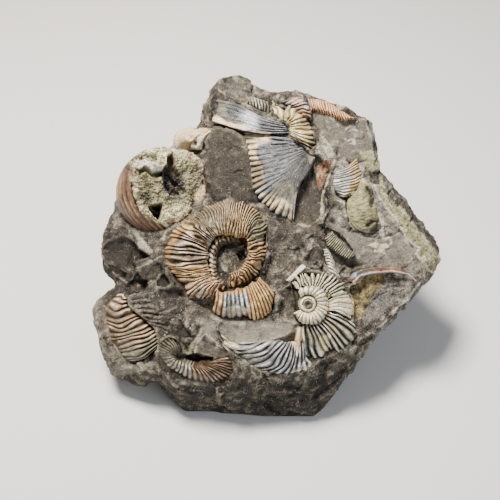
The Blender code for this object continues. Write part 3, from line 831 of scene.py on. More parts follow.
class Coat:
    """Colour, shine and relief built up over the vertices of one piece."""

    def __init__(self, points: np.ndarray, facing: np.ndarray, shade: Shade) -> None:
        """Start with one tone all over.

        Args:
            points: vertices in mm.
            facing: vertex normals; patches lie only where they face the Eye.
            shade: the tone.
        """
        self.picture = EYE.picture(points)
        self.points = points
        self.grain = rough_noise(points, 1.5, 3, 77)
        self.colors = np.repeat(shade.value.colors()[None], len(points), axis=0)
        self.gloss = np.full(len(points), shade.value.gloss)
        self.lift = np.zeros(len(points))
        self.lumps = np.zeros(len(points))
        self.rough = np.ones(len(points))
        self.polish = np.zeros(len(points))
        self.seen = ramp(facing @ EYE.back(), -0.05, 0.15)

    def mask(self, patch: Patch) -> tuple[np.ndarray, np.ndarray]:
        """Vertices that a patch can reach, and how far it covers each."""
        corners = np.array(patch.outline, float)
        margin = patch.width + patch.soft + patch.ragged + 1.0
        low = corners.min(axis=0) - margin
        high = corners.max(axis=0) + margin
        near = np.flatnonzero(np.all((self.picture > low) & (self.picture < high), axis=1))
        reach = distance_to(patch.outline, self.picture[near], patch.width == 0)
        reach = reach + patch.width / 2 + self.grain[near] * patch.ragged
        return near, ramp(reach, -patch.soft / 2, patch.soft / 2) * self.seen[near]

    def add(self, patch: Patch) -> None:
        """Lay one patch over what is there."""
        near, cover = self.mask(patch)
        self.lift[near] += patch.lift * cover
        self.lumps[near] = np.maximum(self.lumps[near], patch.lumps * cover)
        self.rough[near] *= 1.0 - patch.polish * cover
        self.polish[near] = np.maximum(self.polish[near], patch.polish * cover)
        if patch.shade is None:
            return
        if isinstance(patch.shade, str):
            flat = linear(patch.shade)
            laid = np.stack([flat * 0.62, flat, np.minimum(flat * 1.35, 1.0)])
            shine = self.gloss[near]
        else:
            laid = patch.shade.value.colors()
            shine = patch.shade.value.gloss
        share = (cover * patch.amount)[:, None, None]
        self.colors[near] = self.colors[near] * (1 - share) + laid * share
        self.gloss[near] += (shine - self.gloss[near]) * share[:, 0, 0]

    def chip(self, amount: np.ndarray) -> None:
        """Turn spots to the grainy grey-green crust that sticks where shell has gone."""
        share = (0.75 * amount)[:, None, None]
        self.colors = self.colors * (1 - share) + Shade.CRUST.value.colors() * share
        self.gloss = self.gloss * (1 - amount)
        self.lumps = np.maximum(self.lumps, 0.22 * amount)

    def mottle(self, amount: float, seed: int) -> None:
        """Let the brightness wander in blotches and flecks."""
        wide = rough_noise(self.points, 5.0, 3, seed + 11)
        small = rough_noise(self.points, 1.1, 2, seed + 12)
        self.colors = np.clip(self.colors * np.exp(2.0 * amount * (wide + small))[:, None, None], 0, 1)

    def tint(self, crest: np.ndarray) -> np.ndarray:
        """Colour of each vertex for its height between groove and crest: darker in grooves as painted
        shade, paler on crests as painted highlight.
        """
        low = ramp(crest, 0.08, FLANK_CREST)[:, None]
        high = ramp(crest, FLANK_CREST, 1.02)[:, None]
        mixed = self.colors[:, 0] * (1 - low) + self.colors[:, 1] * low
        return mixed * (1 - high) + self.colors[:, 2] * high


# ---------------------------------------------------------------- finishes

def node(tree: bpy.types.NodeTree, kind: str, settings: dict | None = None,
         links: dict | None = None) -> bpy.types.Node:
    """Add a shader node.

    Args:
        tree: the material's nodes.
        kind: the node's type.
        settings: values of its properties, or of its inputs by name or number.
        links: sockets that feed its inputs, by name or number.

    Returns:
        The node.
    """
    made = tree.nodes.new(kind)
    for name, value in (settings or {}).items():
        if isinstance(name, int) or name in made.inputs:
            made.inputs[name].default_value = value
        else:
            setattr(made, name, value)
    for name, socket in (links or {}).items():
        tree.links.new(socket, made.inputs[name])
    return made


@dataclass(frozen=True)
class Finish:
    """Procedural finish that reads a piece's own tint and gloss attributes."""

    name: str
    grain: float            # size in mm of the main colour grain
    contrast: float         # how much the grain changes the brightness
    speck: float            # share of pale mineral specks
    speck_size: float       # mm
    bump: float             # mm of fine relief
    rough: float            # roughness where gloss is 0
    polished: float         # roughness where gloss is 1
    lustre: float = 0.0     # strength of the rainbow on polished places
    ior: float = 1.53

    def material(self) -> bpy.types.Material:
        """The Blender material, made once."""
        made = bpy.data.materials.get(self.name)
        if made:
            return made
        made = bpy.data.materials.new(self.name)
        made.use_nodes = True
        tree = made.node_tree
        shader = tree.nodes["Principled BSDF"]
        shader.inputs["IOR"].default_value = self.ior
        place = node(tree, "ShaderNodeTexCoord").outputs["Object"]
        tint = node(tree, "ShaderNodeAttribute", {"attribute_name": "tint"}).outputs["Color"]
        gloss = node(tree, "ShaderNodeAttribute", {"attribute_name": "gloss"}).outputs["Fac"]
        grain = node(tree, "ShaderNodeTexNoise", {"Scale": 1 / (self.grain * MM), "Detail": 4.0,
                                                  "Roughness": 0.7}, {"Vector": place})
        grit = node(tree, "ShaderNodeAttribute", {"attribute_name": "grit"}).outputs["Fac"]
        uneven = node(tree, "ShaderNodeMapRange", {"From Min": 0.36, "From Max": 0.64,
                                                   "To Min": -self.contrast, "To Max": self.contrast},
                      {"Value": grain.outputs[0]})
        bright = node(tree, "ShaderNodeMath", {"operation": "MULTIPLY_ADD", 2: 1.0},
                      {0: uneven.outputs[0], 1: grit})
        shaded = node(tree, "ShaderNodeVectorMath", {"operation": "SCALE"},
                      {0: tint, "Scale": bright.outputs[0]})
        color = self.specks(tree, place, grit, shaded.outputs[0])
        if self.lustre:
            color = self.rainbow(tree, place, gloss, color)
        tree.links.new(color, shader.inputs["Base Color"])
        dull = node(tree, "ShaderNodeMapRange", {"To Min": self.rough, "To Max": self.polished},
                    {"Value": gloss})
        tree.links.new(dull.outputs[0], shader.inputs["Roughness"])
        fine = node(tree, "ShaderNodeTexNoise", {"Scale": 1 / (self.grain * 0.8 * MM), "Detail": 5.0,
                                                 "Roughness": 0.65}, {"Vector": place})
        relief = node(tree, "ShaderNodeMath", {"operation": "MULTIPLY"}, {0: fine.outputs[0], 1: grit})
        bump = node(tree, "ShaderNodeBump", {"Strength": 1.0, "Distance": self.bump * MM},
                    {"Height": relief.outputs[0]})
        tree.links.new(bump.outputs[0], shader.inputs["Normal"])
        return made

    def specks(self, tree: bpy.types.NodeTree, place: bpy.types.NodeSocket,
               grit: bpy.types.NodeSocket, color: bpy.types.NodeSocket) -> bpy.types.NodeSocket:
        """Scatter pale mineral specks over a colour."""
        cells = node(tree, "ShaderNodeTexVoronoi", {"Scale": 1 / (self.speck_size * MM)},
                     {"Vector": place})
        clumps = node(tree, "ShaderNodeTexNoise", {"Scale": 1 / (self.speck_size * 5 * MM),
                                                   "Detail": 2.0}, {"Vector": place})
        limit = node(tree, "ShaderNodeMapRange", {"From Min": 0.42, "From Max": 0.72, "To Min": 0.0,
                                                  "To Max": self.speck}, {"Value": clumps.outputs[0]})
        hit = node(tree, "ShaderNodeMath", {"operation": "LESS_THAN"},
                   {0: cells.outputs["Distance"], 1: limit.outputs[0]})
        pale = node(tree, "ShaderNodeMath", {"operation": "MULTIPLY"}, {0: hit.outputs[0], 1: grit})
        mixed = node(tree, "ShaderNodeMix", {"data_type": "RGBA", 7: (*linear("#a8a191"), 1.0)},
                     {0: pale.outputs[0], 6: color})
        return mixed.outputs[2]

    def rainbow(self, tree: bpy.types.NodeTree, place: bpy.types.NodeSocket,
                gloss: bpy.types.NodeSocket, color: bpy.types.NodeSocket) -> bpy.types.NodeSocket:
        """Drift a polished colour through rose, green and blue, as nacre does."""
        drift = node(tree, "ShaderNodeTexNoise", {"Scale": 1 / (2.6 * MM), "Detail": 1.0},
                     {"Vector": place})
        ramp_node = node(tree, "ShaderNodeValToRGB", links={0: drift.outputs[0]})
        stops = ((0.36, "#f3c9c6"), (0.45, "#fdf3e2"), (0.52, "#cfe6d2"), (0.60, "#c4d4f2"))
        elements = ramp_node.color_ramp.elements
        for spot, (at, code) in enumerate(stops):
            element = elements[spot] if spot < 2 else elements.new(at)
            element.position = at
            element.color = (*linear(code), 1.0)
        share = node(tree, "ShaderNodeMath", {"operation": "MULTIPLY", 1: self.lustre}, {0: gloss})
        mixed = node(tree, "ShaderNodeMix", {"data_type": "RGBA", "blend_type": "MULTIPLY"},
                     {0: share.outputs[0], 6: color, 7: ramp_node.outputs[0]})
        return mixed.outputs[2]


# Fractured mudstone: clay-fine rock that breaks rough and dull, dusted and bruised paler.
MUDSTONE = Finish("mudstone_fractured", 0.5, 0.7, 0.42, 0.4, 0.8, 0.9, 0.5)
# Aragonite shell, worn: the ammonites' own shell, satin, with nacre showing where it is thin.
ARAGONITE = Finish("aragonite_shell_worn", 0.4, 0.55, 0.24, 0.4, 0.22, 0.6, 0.2, 0.08)
# Nacre: the polished inside of a shell wall, with its rainbow.
PEARLED = Finish("nacre_polished", 0.9, 0.10, 0.0, 0.7, 0.02, 0.5, 0.12, 0.9)
# Calcite druse: packed sugary crystals that glitter a little.
DRUSE = Finish("calcite_druse_sugary", 0.5, 0.5, 0.30, 0.45, 0.30, 0.7, 0.3)


def dress(obj: bpy.types.Object, finish: Finish, coat: Coat, crest: np.ndarray) -> None:
    """Put a coat's colours and a finish on a piece."""
    store(obj, "tint", np.clip(coat.tint(crest), 0.0, 1.0))
    store(obj, "gloss", coat.gloss)
    store(obj, "grit", 0.25 + 0.75 * coat.rough)
    obj.data.materials.clear()
    obj.data.materials.append(finish.material())
    alone(obj)
    bpy.ops.object.shade_smooth()


# ---------------------------------------------------------------- pieces

@dataclass(frozen=True)
class Bed:
    """Hollow that a shell lies in, let into the rock below the shell's own surface."""

    seat: Seat
    form: Ring | Loft
    depth: float
    bank: float = 0.8         # mm over which the rock climbs to its edge
    hides: bool = True        # whether a shell covers the rock there
    spread: float = 0.0       # mm that it reaches past the form's outline

    def cover(self, points: np.ndarray, margin: float) -> np.ndarray:
        """1 for points that lie under the shell by more than a margin in mm, else 0."""
        height = self.seat.local(points)[:, 2]
        start = min(margin - 0.5, 0.0) - self.spread
        under = ramp(self.form.inside(self.seat, points), start, start + self.bank)
        return under * ((height > -6.0) & (height < 9.0))

    def sink(self, points: np.ndarray) -> np.ndarray:
        """Points of the rock pushed down where the shell covers them."""
        local = self.seat.local(points)
        local[:, 2] += np.minimum(-self.depth - local[:, 2], 0.0) * self.cover(points, 0.5)
        return self.seat.place(local)


@dataclass(frozen=True)
class ShellPiece:
    """One ammonite, or a broken piece of one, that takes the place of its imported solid."""

    name: str
    slot: str
    node: str
    seat: Seat
    forms: tuple[Dome | Loft, ...]
    shade: Shade
    patches: tuple[Patch, ...] = ()
    bounds: tuple[Ring, ...] = ()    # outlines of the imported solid, where the forms leave gaps
    floor: float = 0.1               # mm that the rock lies under the seat in those gaps
    grit: float = 0.24               # mm of fine unevenness
    grain: float = 0.9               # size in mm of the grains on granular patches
    flake: float = 0.5               # how much it has flaked in small facets
    worn: float = 0.8                # how far its chips have lost their shell
    mottle: float = 0.22             # how much its brightness wanders
    finish: Finish = ARAGONITE

    def unevenness(self, points: np.ndarray, polish: np.ndarray, seed: int) -> np.ndarray:
        """Fine relief in mm: grit, slow swells, and flakes where it isn't polished."""
        fine = rough_noise(points, 0.8, 3, seed + 5) * self.grit
        swells = rough_noise(points, 3.0, 2, seed + 8) * 0.15
        flakes = shards(points, 1.5, 0.2, 0.10, seed + 4) * self.flake * (1.0 - polish)
        return fine + (swells + flakes)

    def grains(self, points: np.ndarray, seed: int) -> np.ndarray:
        """Relief of a granular patch as shares of its lumps: grains on coarser grains on swells."""
        lumps = 0.5 * crystals(points, self.grain, seed + 6) - 0.4
        lumps += 0.4 * crystals(points, 3.2 * self.grain, seed + 7)
        return lumps + 0.9 * rough_noise(points, 6.0 * self.grain, 3, seed + 14)

    def build(self, seed: int) -> bpy.types.Object:
        """Model the forms, lay the patches and dress the piece."""
        parts = [form.build(f"{self.name}_{number}", self.seat, seed + 31 * number)
                 for number, form in enumerate(self.forms)]
        obj = joined(self.name, parts) if len(parts) > 1 else parts[0]
        obj.name = self.name
        points = read(obj)
        coat = Coat(points, normals(obj), self.shade)
        for patch in self.patches:
            coat.add(patch)
        crest = stored(obj, "crest")
        out = self.seat.axes()[2]
        fine = self.unevenness(points, coat.polish, seed)
        lumps = self.grains(points, seed)
        chipped = ramp(rough_noise(points, 4.5, 4, seed + 9), 0.16, 0.34) * self.worn * (1.0 - coat.polish)
        coat.chip(chipped)
        coat.mottle(self.mottle, seed)
        flat = stored(obj, "relief") * (1.0 - coat.rough * (1.0 - 0.6 * chipped))
        points = points + out * (coat.lift - flat + fine + coat.lumps * lumps)[:, None]
        # On granular patches the grains' peaks take paler colour and the creases between them darker:
        # painted highlight and painted shade.
        covered = np.clip(coat.lumps * 1.5, 0.0, 1.0)
        crest = crest * (1 - covered) + (0.35 + 0.5 * (lumps + 0.4)) * covered
        write(obj, points)
        dress(obj, self.finish, coat, np.clip(crest + 0.15 * coat.grain, 0.0, 1.0))
        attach(obj, "root")
        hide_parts(self.node)
        log.info("%s: %d faces", self.name, len(obj.data.polygons))
        return obj

    def beds(self) -> tuple[Bed, ...]:
        """Hollows that the piece lies in."""
        own = tuple(Bed(self.seat, form, 1.3 - form.lowest() if isinstance(form, Loft) else 3.2)
                    for form in self.forms)
        return own + tuple(Bed(self.seat, form, self.floor, 3.0, False, 0.9) for form in self.bounds)


@dataclass(frozen=True)
class Facet:
    """Flat or hollow break in the rock, drawn on the Eye's picture plane."""

    outline: Outline
    depth: float = 0.0        # mm that its middle lies behind the rock there
    slope: tuple[float, float] = (0.0, 0.0)   # how it falls away to the right and downwards
    dish: float = 0.0         # mm that its middle is hollowed
    amount: float = 0.9       # share of the way that the rock moves onto it
    soft: float = 1.6         # breadth of its edge on the picture plane
    ragged: float = 1.5       # how far the noise moves its edge
    polish: float = 0.5       # share of the rock's own roughness taken away

    def cut(self, points: np.ndarray, facing: np.ndarray, grain: np.ndarray,
            bare: np.ndarray) -> np.ndarray:
        """Move the rock's points along the line of sight onto the facet.

        Args:
            points: vertices in mm.
            facing: their normals.
            grain: noise per vertex that makes the edge uneven.
            bare: 1 where no shell covers the rock, else 0.

        Returns:
            The moved points.
        """
        picture = EYE.picture(points)
        corners = np.array(self.outline, float)
        reach = distance_to(self.outline, picture, True)
        cover = ramp(reach + grain * self.ragged, -self.soft / 2, self.soft / 2)
        cover *= ramp(facing @ EYE.back(), 0.0, 0.25) * self.amount
        depth = -(points - EYE.place()) @ EYE.back()
        inside = (cover > 0.5) & (bare > 0.5)
        if not inside.any():
            return points
        middle = corners.mean(axis=0)
        scale = np.median(depth[inside]) / EYE.focal()
        away = (picture - middle) * scale
        plane = np.median(depth[inside]) + self.depth + away @ np.array(self.slope)
        size = np.sqrt(max(np.mean(np.sum((corners - middle) ** 2, axis=1)), 1.0)) * scale
        plane += self.dish * np.clip(1.0 - np.sum(away**2, axis=1) / size**2, 0.0, 1.0)
        sight = points - EYE.place()
        sight /= -(sight @ EYE.back())[:, None]
        return points + sight * ((plane - depth) * cover)[:, None]


@dataclass(frozen=True)
class Imprint:
    """Ribs pressed into the rock's own surface by a shell that has gone."""

    form: Loft
    height: float

    def crest(self, points: np.ndarray, facing: np.ndarray, seed: int) -> np.ndarray:
        """Ribs' relief from -0.6 in a groove to 0.4 on a rib, and 0 away from the ribs."""
        picture = EYE.picture(points)
        outline = self.form.outline()
        found = np.zeros(len(points))
        corners = np.array(outline)
        near = np.all((picture > corners.min(axis=0)) & (picture < corners.max(axis=0)), axis=1)
        near = np.flatnonzero(near & (facing @ EYE.back() > 0.1))
        rows, grid = self.form.lines()
        share = np.broadcast_to(np.linspace(0.0, 1.0, self.form.columns + 1), grid.shape[:2])
        ribs, _ = self.form.ribs(np.broadcast_to(rows[:, None], share.shape), share, seed)
        spots = grid.reshape(-1, 2)
        for chunk in np.array_split(near, len(near) // 2000 + 1):
            gaps = np.sum((picture[chunk][:, None] - spots[None]) ** 2, axis=2)
            edge = ramp(distance_to(outline, picture[chunk], True), 0.0, 4.0)
            found[chunk] = (ribs.ravel()[np.argmin(gaps, axis=1)] - LEVEL_CREST) * edge
        return found


@dataclass(frozen=True)
class Rock:
    """The broken lump of mudstone that holds the shells."""

    voxel: float = 0.9            # mm, of the skin before it is refined
    closing: float = 0.32         # mm that it swells to close the gaps round the solids
    slab: float = 6.0             # mm, width of its broad facets
    flake: float = 2.2            # mm, width of its small facets
    grain: float = 1.8            # mm, size of its fine unevenness
    pit: float = 3.2              # mm, size of its pits
    inset: float = 0.03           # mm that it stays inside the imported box
    beds: tuple[Bed, ...] = ()
    facets: tuple[Facet, ...] = ()
    imprints: tuple[Imprint, ...] = ()
    patches: tuple[Patch, ...] = ()

    def blank(self) -> bpy.types.Object:
        """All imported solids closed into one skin."""
        obj = joined("mudstone_matrix", [copy_of(name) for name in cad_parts])
        apply(obj, "DISPLACE", strength=self.closing * MM, mid_level=0.0, direction="NORMAL")
        apply(obj, "REMESH", mode="VOXEL", voxel_size=self.voxel * MM)
        apply(obj, "DISPLACE", strength=-self.closing * MM, mid_level=0.0, direction="NORMAL")
        return obj

    def covered(self, points: np.ndarray, margin: float) -> np.ndarray:
        """1 where a shell covers the rock, by more than a margin in mm inside its outline."""
        most = np.zeros(len(points))
        for bed in self.beds:
            if bed.hides:
                most = np.maximum(most, bed.cover(points, margin))
        return np.maximum(most, 1.0 - ramp(HOLLOW.share(points), 0.98, 1.04))

    def sunk(self, points: np.ndarray) -> np.ndarray:
        """Points of the rock pushed down into the beds and in behind the bowl."""
        for bed in self.beds:
            points = bed.sink(points)
        return HOLLOW.sink(points)

    def refine(self, obj: bpy.types.Object) -> None:
        """Halve the faces that are seen from the front."""
        turned = fetched(obj.data.polygons, "normal") @ EYE.back() > 0.12
        hidden = self.covered(read(obj), 1.6)
        buried = np.array([min(hidden[list(face.vertices)]) for face in obj.data.polygons])
        alone(obj)
        bpy.ops.object.mode_set(mode="EDIT")
        bpy.ops.mesh.select_mode(type="FACE")
        bpy.ops.mesh.select_all(action="DESELECT")
        bpy.ops.object.mode_set(mode="OBJECT")
        obj.data.polygons.foreach_set("select", turned & (buried < 0.5))
        bpy.ops.object.mode_set(mode="EDIT")
        bpy.ops.mesh.subdivide(number_cuts=1)
        bpy.ops.object.mode_set(mode="OBJECT")

    def relief(self, points: np.ndarray, coat: Coat, seed: int) -> tuple[np.ndarray, np.ndarray]:
        """Break the surface up.

        Args:
            points: vertices in mm.
            coat: its stains, which smooth, raise or roughen it in places.
            seed: picks the pattern.

        Returns:
            Height in mm, and the painted shade and highlight that the unevenness adds to the colour.
        """
        warp = points + 1.2 * rough_noise(points, self.slab, 2, seed)[:, None]
        big = shards(warp, self.slab, 0.10, 0.4, seed)
        small = shards(warp, self.flake, 0.14, 0.2, seed + 3)
        fine = rough_noise(points, self.grain, 4, seed + 4)
        pits = rough_noise(points, self.pit, 3, seed + 6)
        height = (1.0 * big + 0.7 * small + 0.4 * pits) * coat.rough
        height += 0.5 * fine * (0.2 + 0.8 * coat.rough)
        height += coat.lift + coat.lumps * (crystals(points, 1.1, seed + 5) - 0.4)
        return height, (0.40 * fine + 0.30 * pits) * coat.rough

    def trimmed(self, points: np.ndarray) -> np.ndarray:
        """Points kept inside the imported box, with those at the bottom on a flat underside."""
        low, high = np.array(CAD_BOX) / MM - SEAT_SHIFT
        points = np.clip(points, low + self.inset, high - self.inset)
        points[:, 2] = np.where(points[:, 2] < self.inset + 0.01, 0.0, points[:, 2])
        return points

    def build(self, seed: int) -> bpy.types.Object:
        """Model and dress the rock."""
        obj = self.blank()
        self.refine(obj)
        points = read(obj)
        bare = 1.0 - self.covered(points, 0.2)
        grain = rough_noise(points, 2.4, 4, seed + 9)
        for facet in self.facets:
            points = facet.cut(points, normals(obj), grain, bare)
        points = self.sunk(points)
        write(obj, points)
        facing = normals(obj)
        coat = Coat(points, facing, Shade.MUD)
        coat.mottle(0.24, seed)
        for facet in self.facets:
            coat.add(Patch(facet.outline, polish=facet.polish))
        for patch in self.patches:
            coat.add(patch)
        height, shading = self.relief(points, coat, seed)
        ribbed = np.zeros(len(points))
        for imprint in self.imprints:
            ribbed += imprint.crest(points, facing, seed) * imprint.height
        height += ribbed
        above = ramp(points[:, 2], 0.2, 2.5)
        points = points + facing * (height * above)[:, None]
        write(obj, self.trimmed(self.sunk(points)))
        # Proud places take paler colour as painted highlight and hollows darker colour as painted shade;
        # the unevenness and the imprint's ribs are shaded the same way.
        near = np.clip(proudness(obj, 3) / 0.10, -2.0, 1.0)
        wide = np.clip(proudness(obj, 14) / 0.45, -1.5, 0.6)
        crest = LEVEL_CREST + 0.12 * near + 0.10 * wide + shading + 0.7 * ribbed
        dress(obj, MUDSTONE, coat, np.clip(crest, 0.0, 1.0))
        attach(obj, "root")
        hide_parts("matrix_rock")
        log.info("mudstone_matrix: %d faces", len(obj.data.polygons))
        return obj


@dataclass(frozen=True)
class Bowl:
    """The hollow ammonite's shell: an egg of thin wall, broken open across a plane."""

    seat: Seat = Seat((-31.6, 9.1, 52.1), 25, 50)
    middle: tuple[float, float, float] = (2.6, 0.3, -9.3)   # of the egg, from the broken face
    radii: tuple[float, float, float] = (14.4, 13.8, 14.0)
    wall: float = 1.2                                       # its thickness
    cut: float = 0.7                                        # how far under the seat it is cut open
    growth: float = 9.0                                     # degrees from growth line to growth line
    fine_growth: float = 3.2                                # the same for the fine ones

    def share(self, points: np.ndarray) -> np.ndarray:
        """Distance from the egg's middle, where 1 is its outside."""
        local = (self.seat.local(points) - np.array(self.middle)) / np.array(self.radii)
        return np.linalg.norm(local, axis=1)

    def sink(self, points: np.ndarray) -> np.ndarray:
        """Points of the rock drawn in behind the shell."""
        share = self.share(points)
        drawn = 0.14 * (1 - ramp(share, 1.0, 1.06)) * ramp(share, 0.5, 0.8)
        local = self.seat.local(points) - np.array(self.middle)
        local *= ((share - drawn) / np.maximum(share, 1e-6))[:, None]
        return self.seat.place(local + np.array(self.middle))

    def build(self, patches: tuple[Patch, ...], seed: int) -> bpy.types.Object:
        """Model the bowl with its growth lines and dress it."""
        bpy.ops.object.select_all(action="DESELECT")
        bpy.ops.mesh.primitive_uv_sphere_add(segments=220, ring_count=120, radius=1.0)
        obj = bpy.context.active_object
        obj.name = obj.data.name = "hollow_shell"
        ball = (read(obj) + SEAT_SHIFT) * MM
        upright = ball[:, [0, 2, 1]] * np.array((1.0, 1.0, -1.0))
        around = np.degrees(np.arctan2(upright[:, 2], upright[:, 0]))
        drift = 4.0 * soft_noise(upright, 0.5, seed + 2)
        lines = 0.62 * np.abs(np.cos(pi * (around + drift) / self.growth)) ** 0.8
        lines += 0.38 * np.abs(np.cos(pi * (around + 1.5 * drift) / self.fine_growth))
        lines *= 0.75 + 0.25 * soft_noise(upright, 0.4, seed)
        reach = ramp(1.0 - np.abs(upright[:, 1]), 0.02, 0.2)
        size = np.array(self.radii) + ((lines - 0.7) * 0.5 * reach)[:, None]
        write(obj, self.seat.place(upright * size + np.array(self.middle)))
        store(obj, "crest", lines)
        cut = (self.seat.place(np.array((0.0, 0.0, -self.cut))) + SEAT_SHIFT) * MM
        with editing(obj):
            bpy.ops.mesh.bisect(plane_co=cut, plane_no=self.seat.axes()[2], clear_outer=True)
            bpy.ops.mesh.select_all(action="SELECT")
            bpy.ops.mesh.normals_make_consistent(inside=False)
        apply(obj, "SOLIDIFY", thickness=self.wall * MM, offset=-1.0)
        points = read(obj)
        coat = Coat(points, normals(obj), Shade.ROSEWOOD)
        coat.mottle(0.2, seed)
        for patch in patches:
            coat.add(patch)
        write(obj, points + normals(obj) * (0.12 * rough_noise(points, 1.2, 3, seed))[:, None])
        dress(obj, ARAGONITE, coat, np.clip(stored(obj, "crest") + 0.15 * coat.grain, 0, 1))
        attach(obj, "root")
        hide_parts("hollow_ammonite")
        log.info("hollow_shell: %d faces", len(obj.data.polygons))
        return obj


HOLLOW = Bowl()


# ---------------------------------------------------------------- the cluster

# Parts of the picture plane that places are read on.
UPPER = Part(6.43, 200, 70)
CREAM = Part(5.806, 215, 260)
MIDDLE = Part(6.43, 150, 185)
LEFT = Part(5.806, 90, 280)
RIGHT = Part(5.625, 285, 90)
BOWL = Part(8.18, 105, 120)
WHOLE = Part(1.0)

# Rib lines: a rib's number, then its line's places from the inner end outwards.
CENTRAL_RIBS = MIDDLE.guides(
    (0, 450, 640, 425, 680, 405, 725), (1.8, 425, 625, 380, 680, 340, 730),
    (4.1, 405, 605, 340, 655, 265, 725), (5.9, 390, 585, 310, 625, 235, 670),
    (7.7, 380, 560, 280, 590, 180, 590), (9.6, 375, 530, 260, 560, 130, 550),
    (11.4, 370, 500, 250, 520, 105, 510), (13.2, 370, 470, 250, 470, 95, 455),
    (15.1, 372, 440, 260, 425, 110, 395), (17, 378, 410, 270, 370, 130, 335),
    (19.2, 385, 380, 290, 320, 175, 280), (21.5, 400, 350, 320, 270, 240, 230),
    (23.8, 420, 330, 355, 240, 300, 185), (25.7, 450, 325, 405, 220, 370, 150),
    (27.5, 480, 325, 455, 210, 430, 120), (29.8, 515, 325, 515, 210, 510, 100),
    (32, 550, 330, 570, 210, 590, 120), (34.2, 580, 335, 625, 230, 670, 155),
    (36.5, 605, 350, 670, 270, 735, 230), (38.3, 620, 375, 680, 330, 745, 300),
    (39.8, 625, 405, 680, 385, 740, 370), (41.8, 628, 435, 680, 430, 745, 425),
    (43.8, 625, 465, 675, 475, 730, 485), (45.7, 615, 495, 655, 520, 700, 545),
    (47.6, 595, 520, 630, 560, 660, 590), (49.6, 570, 545, 590, 585, 610, 620),
    (51.6, 540, 560, 550, 600, 560, 640), (53.5, 515, 570, 510, 610, 505, 645))
CENTRAL_CORE = MIDDLE.guides(
    (0, 585, 366, 564, 340), (2.5, 531, 366, 512, 331), (5, 466, 386, 440, 339),
    (8, 429, 448, 384, 418), (11, 427, 524, 379, 517), (14, 446, 591, 399, 606),
    (17, 494, 629, 470, 668))
CENTRAL_FLAKE = MIDDLE.guides(
    (0, 430, 670, 420, 740, 405, 805), (1.6, 475, 682, 470, 760, 460, 845),
    (4, 530, 675, 535, 760, 540, 850), (6, 580, 668, 595, 760, 615, 850),
    (7.8, 620, 650, 650, 760, 665, 868), (10.8, 655, 625, 700, 720, 740, 840),
    (13.2, 685, 608, 740, 690, 785, 800), (15.2, 705, 600, 760, 650, 805, 700))
CREAM_COIL = CREAM.guides(
    (0, 500, 290, 480, 300, 460, 312), (2, 515, 300, 500, 330, 490, 355),
    (4, 540, 305, 540, 340, 535, 372), (6.5, 565, 300, 585, 330, 600, 365),
    (8.5, 585, 280, 615, 300, 640, 325), (10.5, 592, 255, 625, 262, 660, 270),
    (12.5, 585, 230, 615, 220, 650, 210), (14.5, 565, 208, 590, 185, 615, 165),
    (16.5, 540, 200, 545, 175, 550, 152), (18, 515, 208, 505, 185, 500, 165),
    (19.5, 498, 225, 492, 205, 488, 192))
CREAM_FRILL = CREAM.guides(
    (0, 490, 190, 465, 170, 450, 150), (1.5, 500, 170, 480, 140, 455, 115),
    (3, 515, 158, 505, 120, 490, 85), (5, 545, 152, 545, 110, 530, 70),
    (7, 575, 155, 590, 120, 600, 80), (9.5, 605, 165, 640, 130, 660, 100),
    (12, 630, 185, 680, 150, 715, 120), (14, 645, 205, 700, 185, 750, 165),
    (15.5, 655, 225, 710, 205, 770, 200))
CREAM_PLATES = CREAM.guides(
    (0, 662, 232, 700, 212, 775, 203), (1, 662, 255, 710, 235, 790, 235),
    (2, 662, 270, 715, 262, 797, 272), (3, 662, 285, 715, 280, 800, 305),
    (3.9, 660, 294, 700, 298, 792, 342))
CREAM_FAN = CREAM.guides(
    (0, 660, 300, 730, 325, 805, 370), (1, 650, 312, 730, 350, 815, 415),
    (2, 640, 325, 720, 380, 800, 455), (3, 628, 340, 700, 400, 775, 485),
    (4, 615, 352, 685, 430, 750, 515), (5.2, 600, 362, 655, 430, 715, 530),
    (6.4, 580, 372, 620, 440, 670, 520), (7.6, 560, 378, 590, 450, 640, 545),
    (8.6, 540, 382, 560, 450, 600, 560), (9.6, 520, 385, 530, 450, 560, 560),
    (10.6, 500, 392, 500, 450, 510, 560), (11.6, 475, 405, 465, 460, 455, 550))
CREAM_HORN = CREAM.guides(
    (0, 200, 478, 110, 480, 35, 430), (1, 270, 475, 180, 510, 60, 490),
    (2, 330, 465, 220, 525, 110, 535), (3.2, 370, 465, 270, 550, 160, 570),
    (4.4, 400, 470, 310, 580, 210, 605), (5.6, 420, 480, 350, 600, 260, 630),
    (6.8, 440, 480, 390, 610, 320, 648), (8, 455, 480, 420, 610, 370, 658),
    (9.2, 470, 480, 450, 610, 420, 662), (10.4, 490, 480, 480, 600, 470, 655),
    (11.6, 505, 470, 510, 580, 520, 640), (12.8, 515, 450, 530, 560, 560, 610))
UPPER_BAND = UPPER.guides(
    (0, 545, 345, 400, 300, 230, 215, 100, 192), (1, 555, 355, 390, 315, 200, 235, 115, 225),
    (2, 560, 365, 380, 335, 190, 265, 100, 255), (3, 565, 378, 380, 360, 190, 300, 90, 285),
    (4, 570, 390, 390, 385, 250, 340, 85, 308), (5, 575, 402, 400, 402, 270, 372, 80, 325),
    (5.6, 575, 408, 400, 410, 270, 393, 90, 335))
UPPER_FAN = UPPER.guides(
    (0, 575, 405, 450, 403, 300, 398), (1.2, 600, 440, 450, 445, 288, 435),
    (3, 640, 470, 470, 490, 308, 500), (5, 670, 500, 500, 540, 322, 570),
    (6.9, 685, 515, 520, 590, 335, 640), (8.5, 690, 520, 540, 630, 338, 700),
    (10.3, 693, 525, 550, 660, 350, 768), (13.8, 696, 530, 570, 690, 425, 868),
    (15.5, 700, 533, 590, 710, 470, 912), (17.2, 702, 537, 610, 720, 545, 945),
    (18.9, 705, 540, 630, 730, 600, 960), (20.4, 712, 543, 650, 720, 600, 850),
    (22, 722, 548, 680, 680, 640, 740), (23.5, 745, 560, 720, 630, 700, 680))
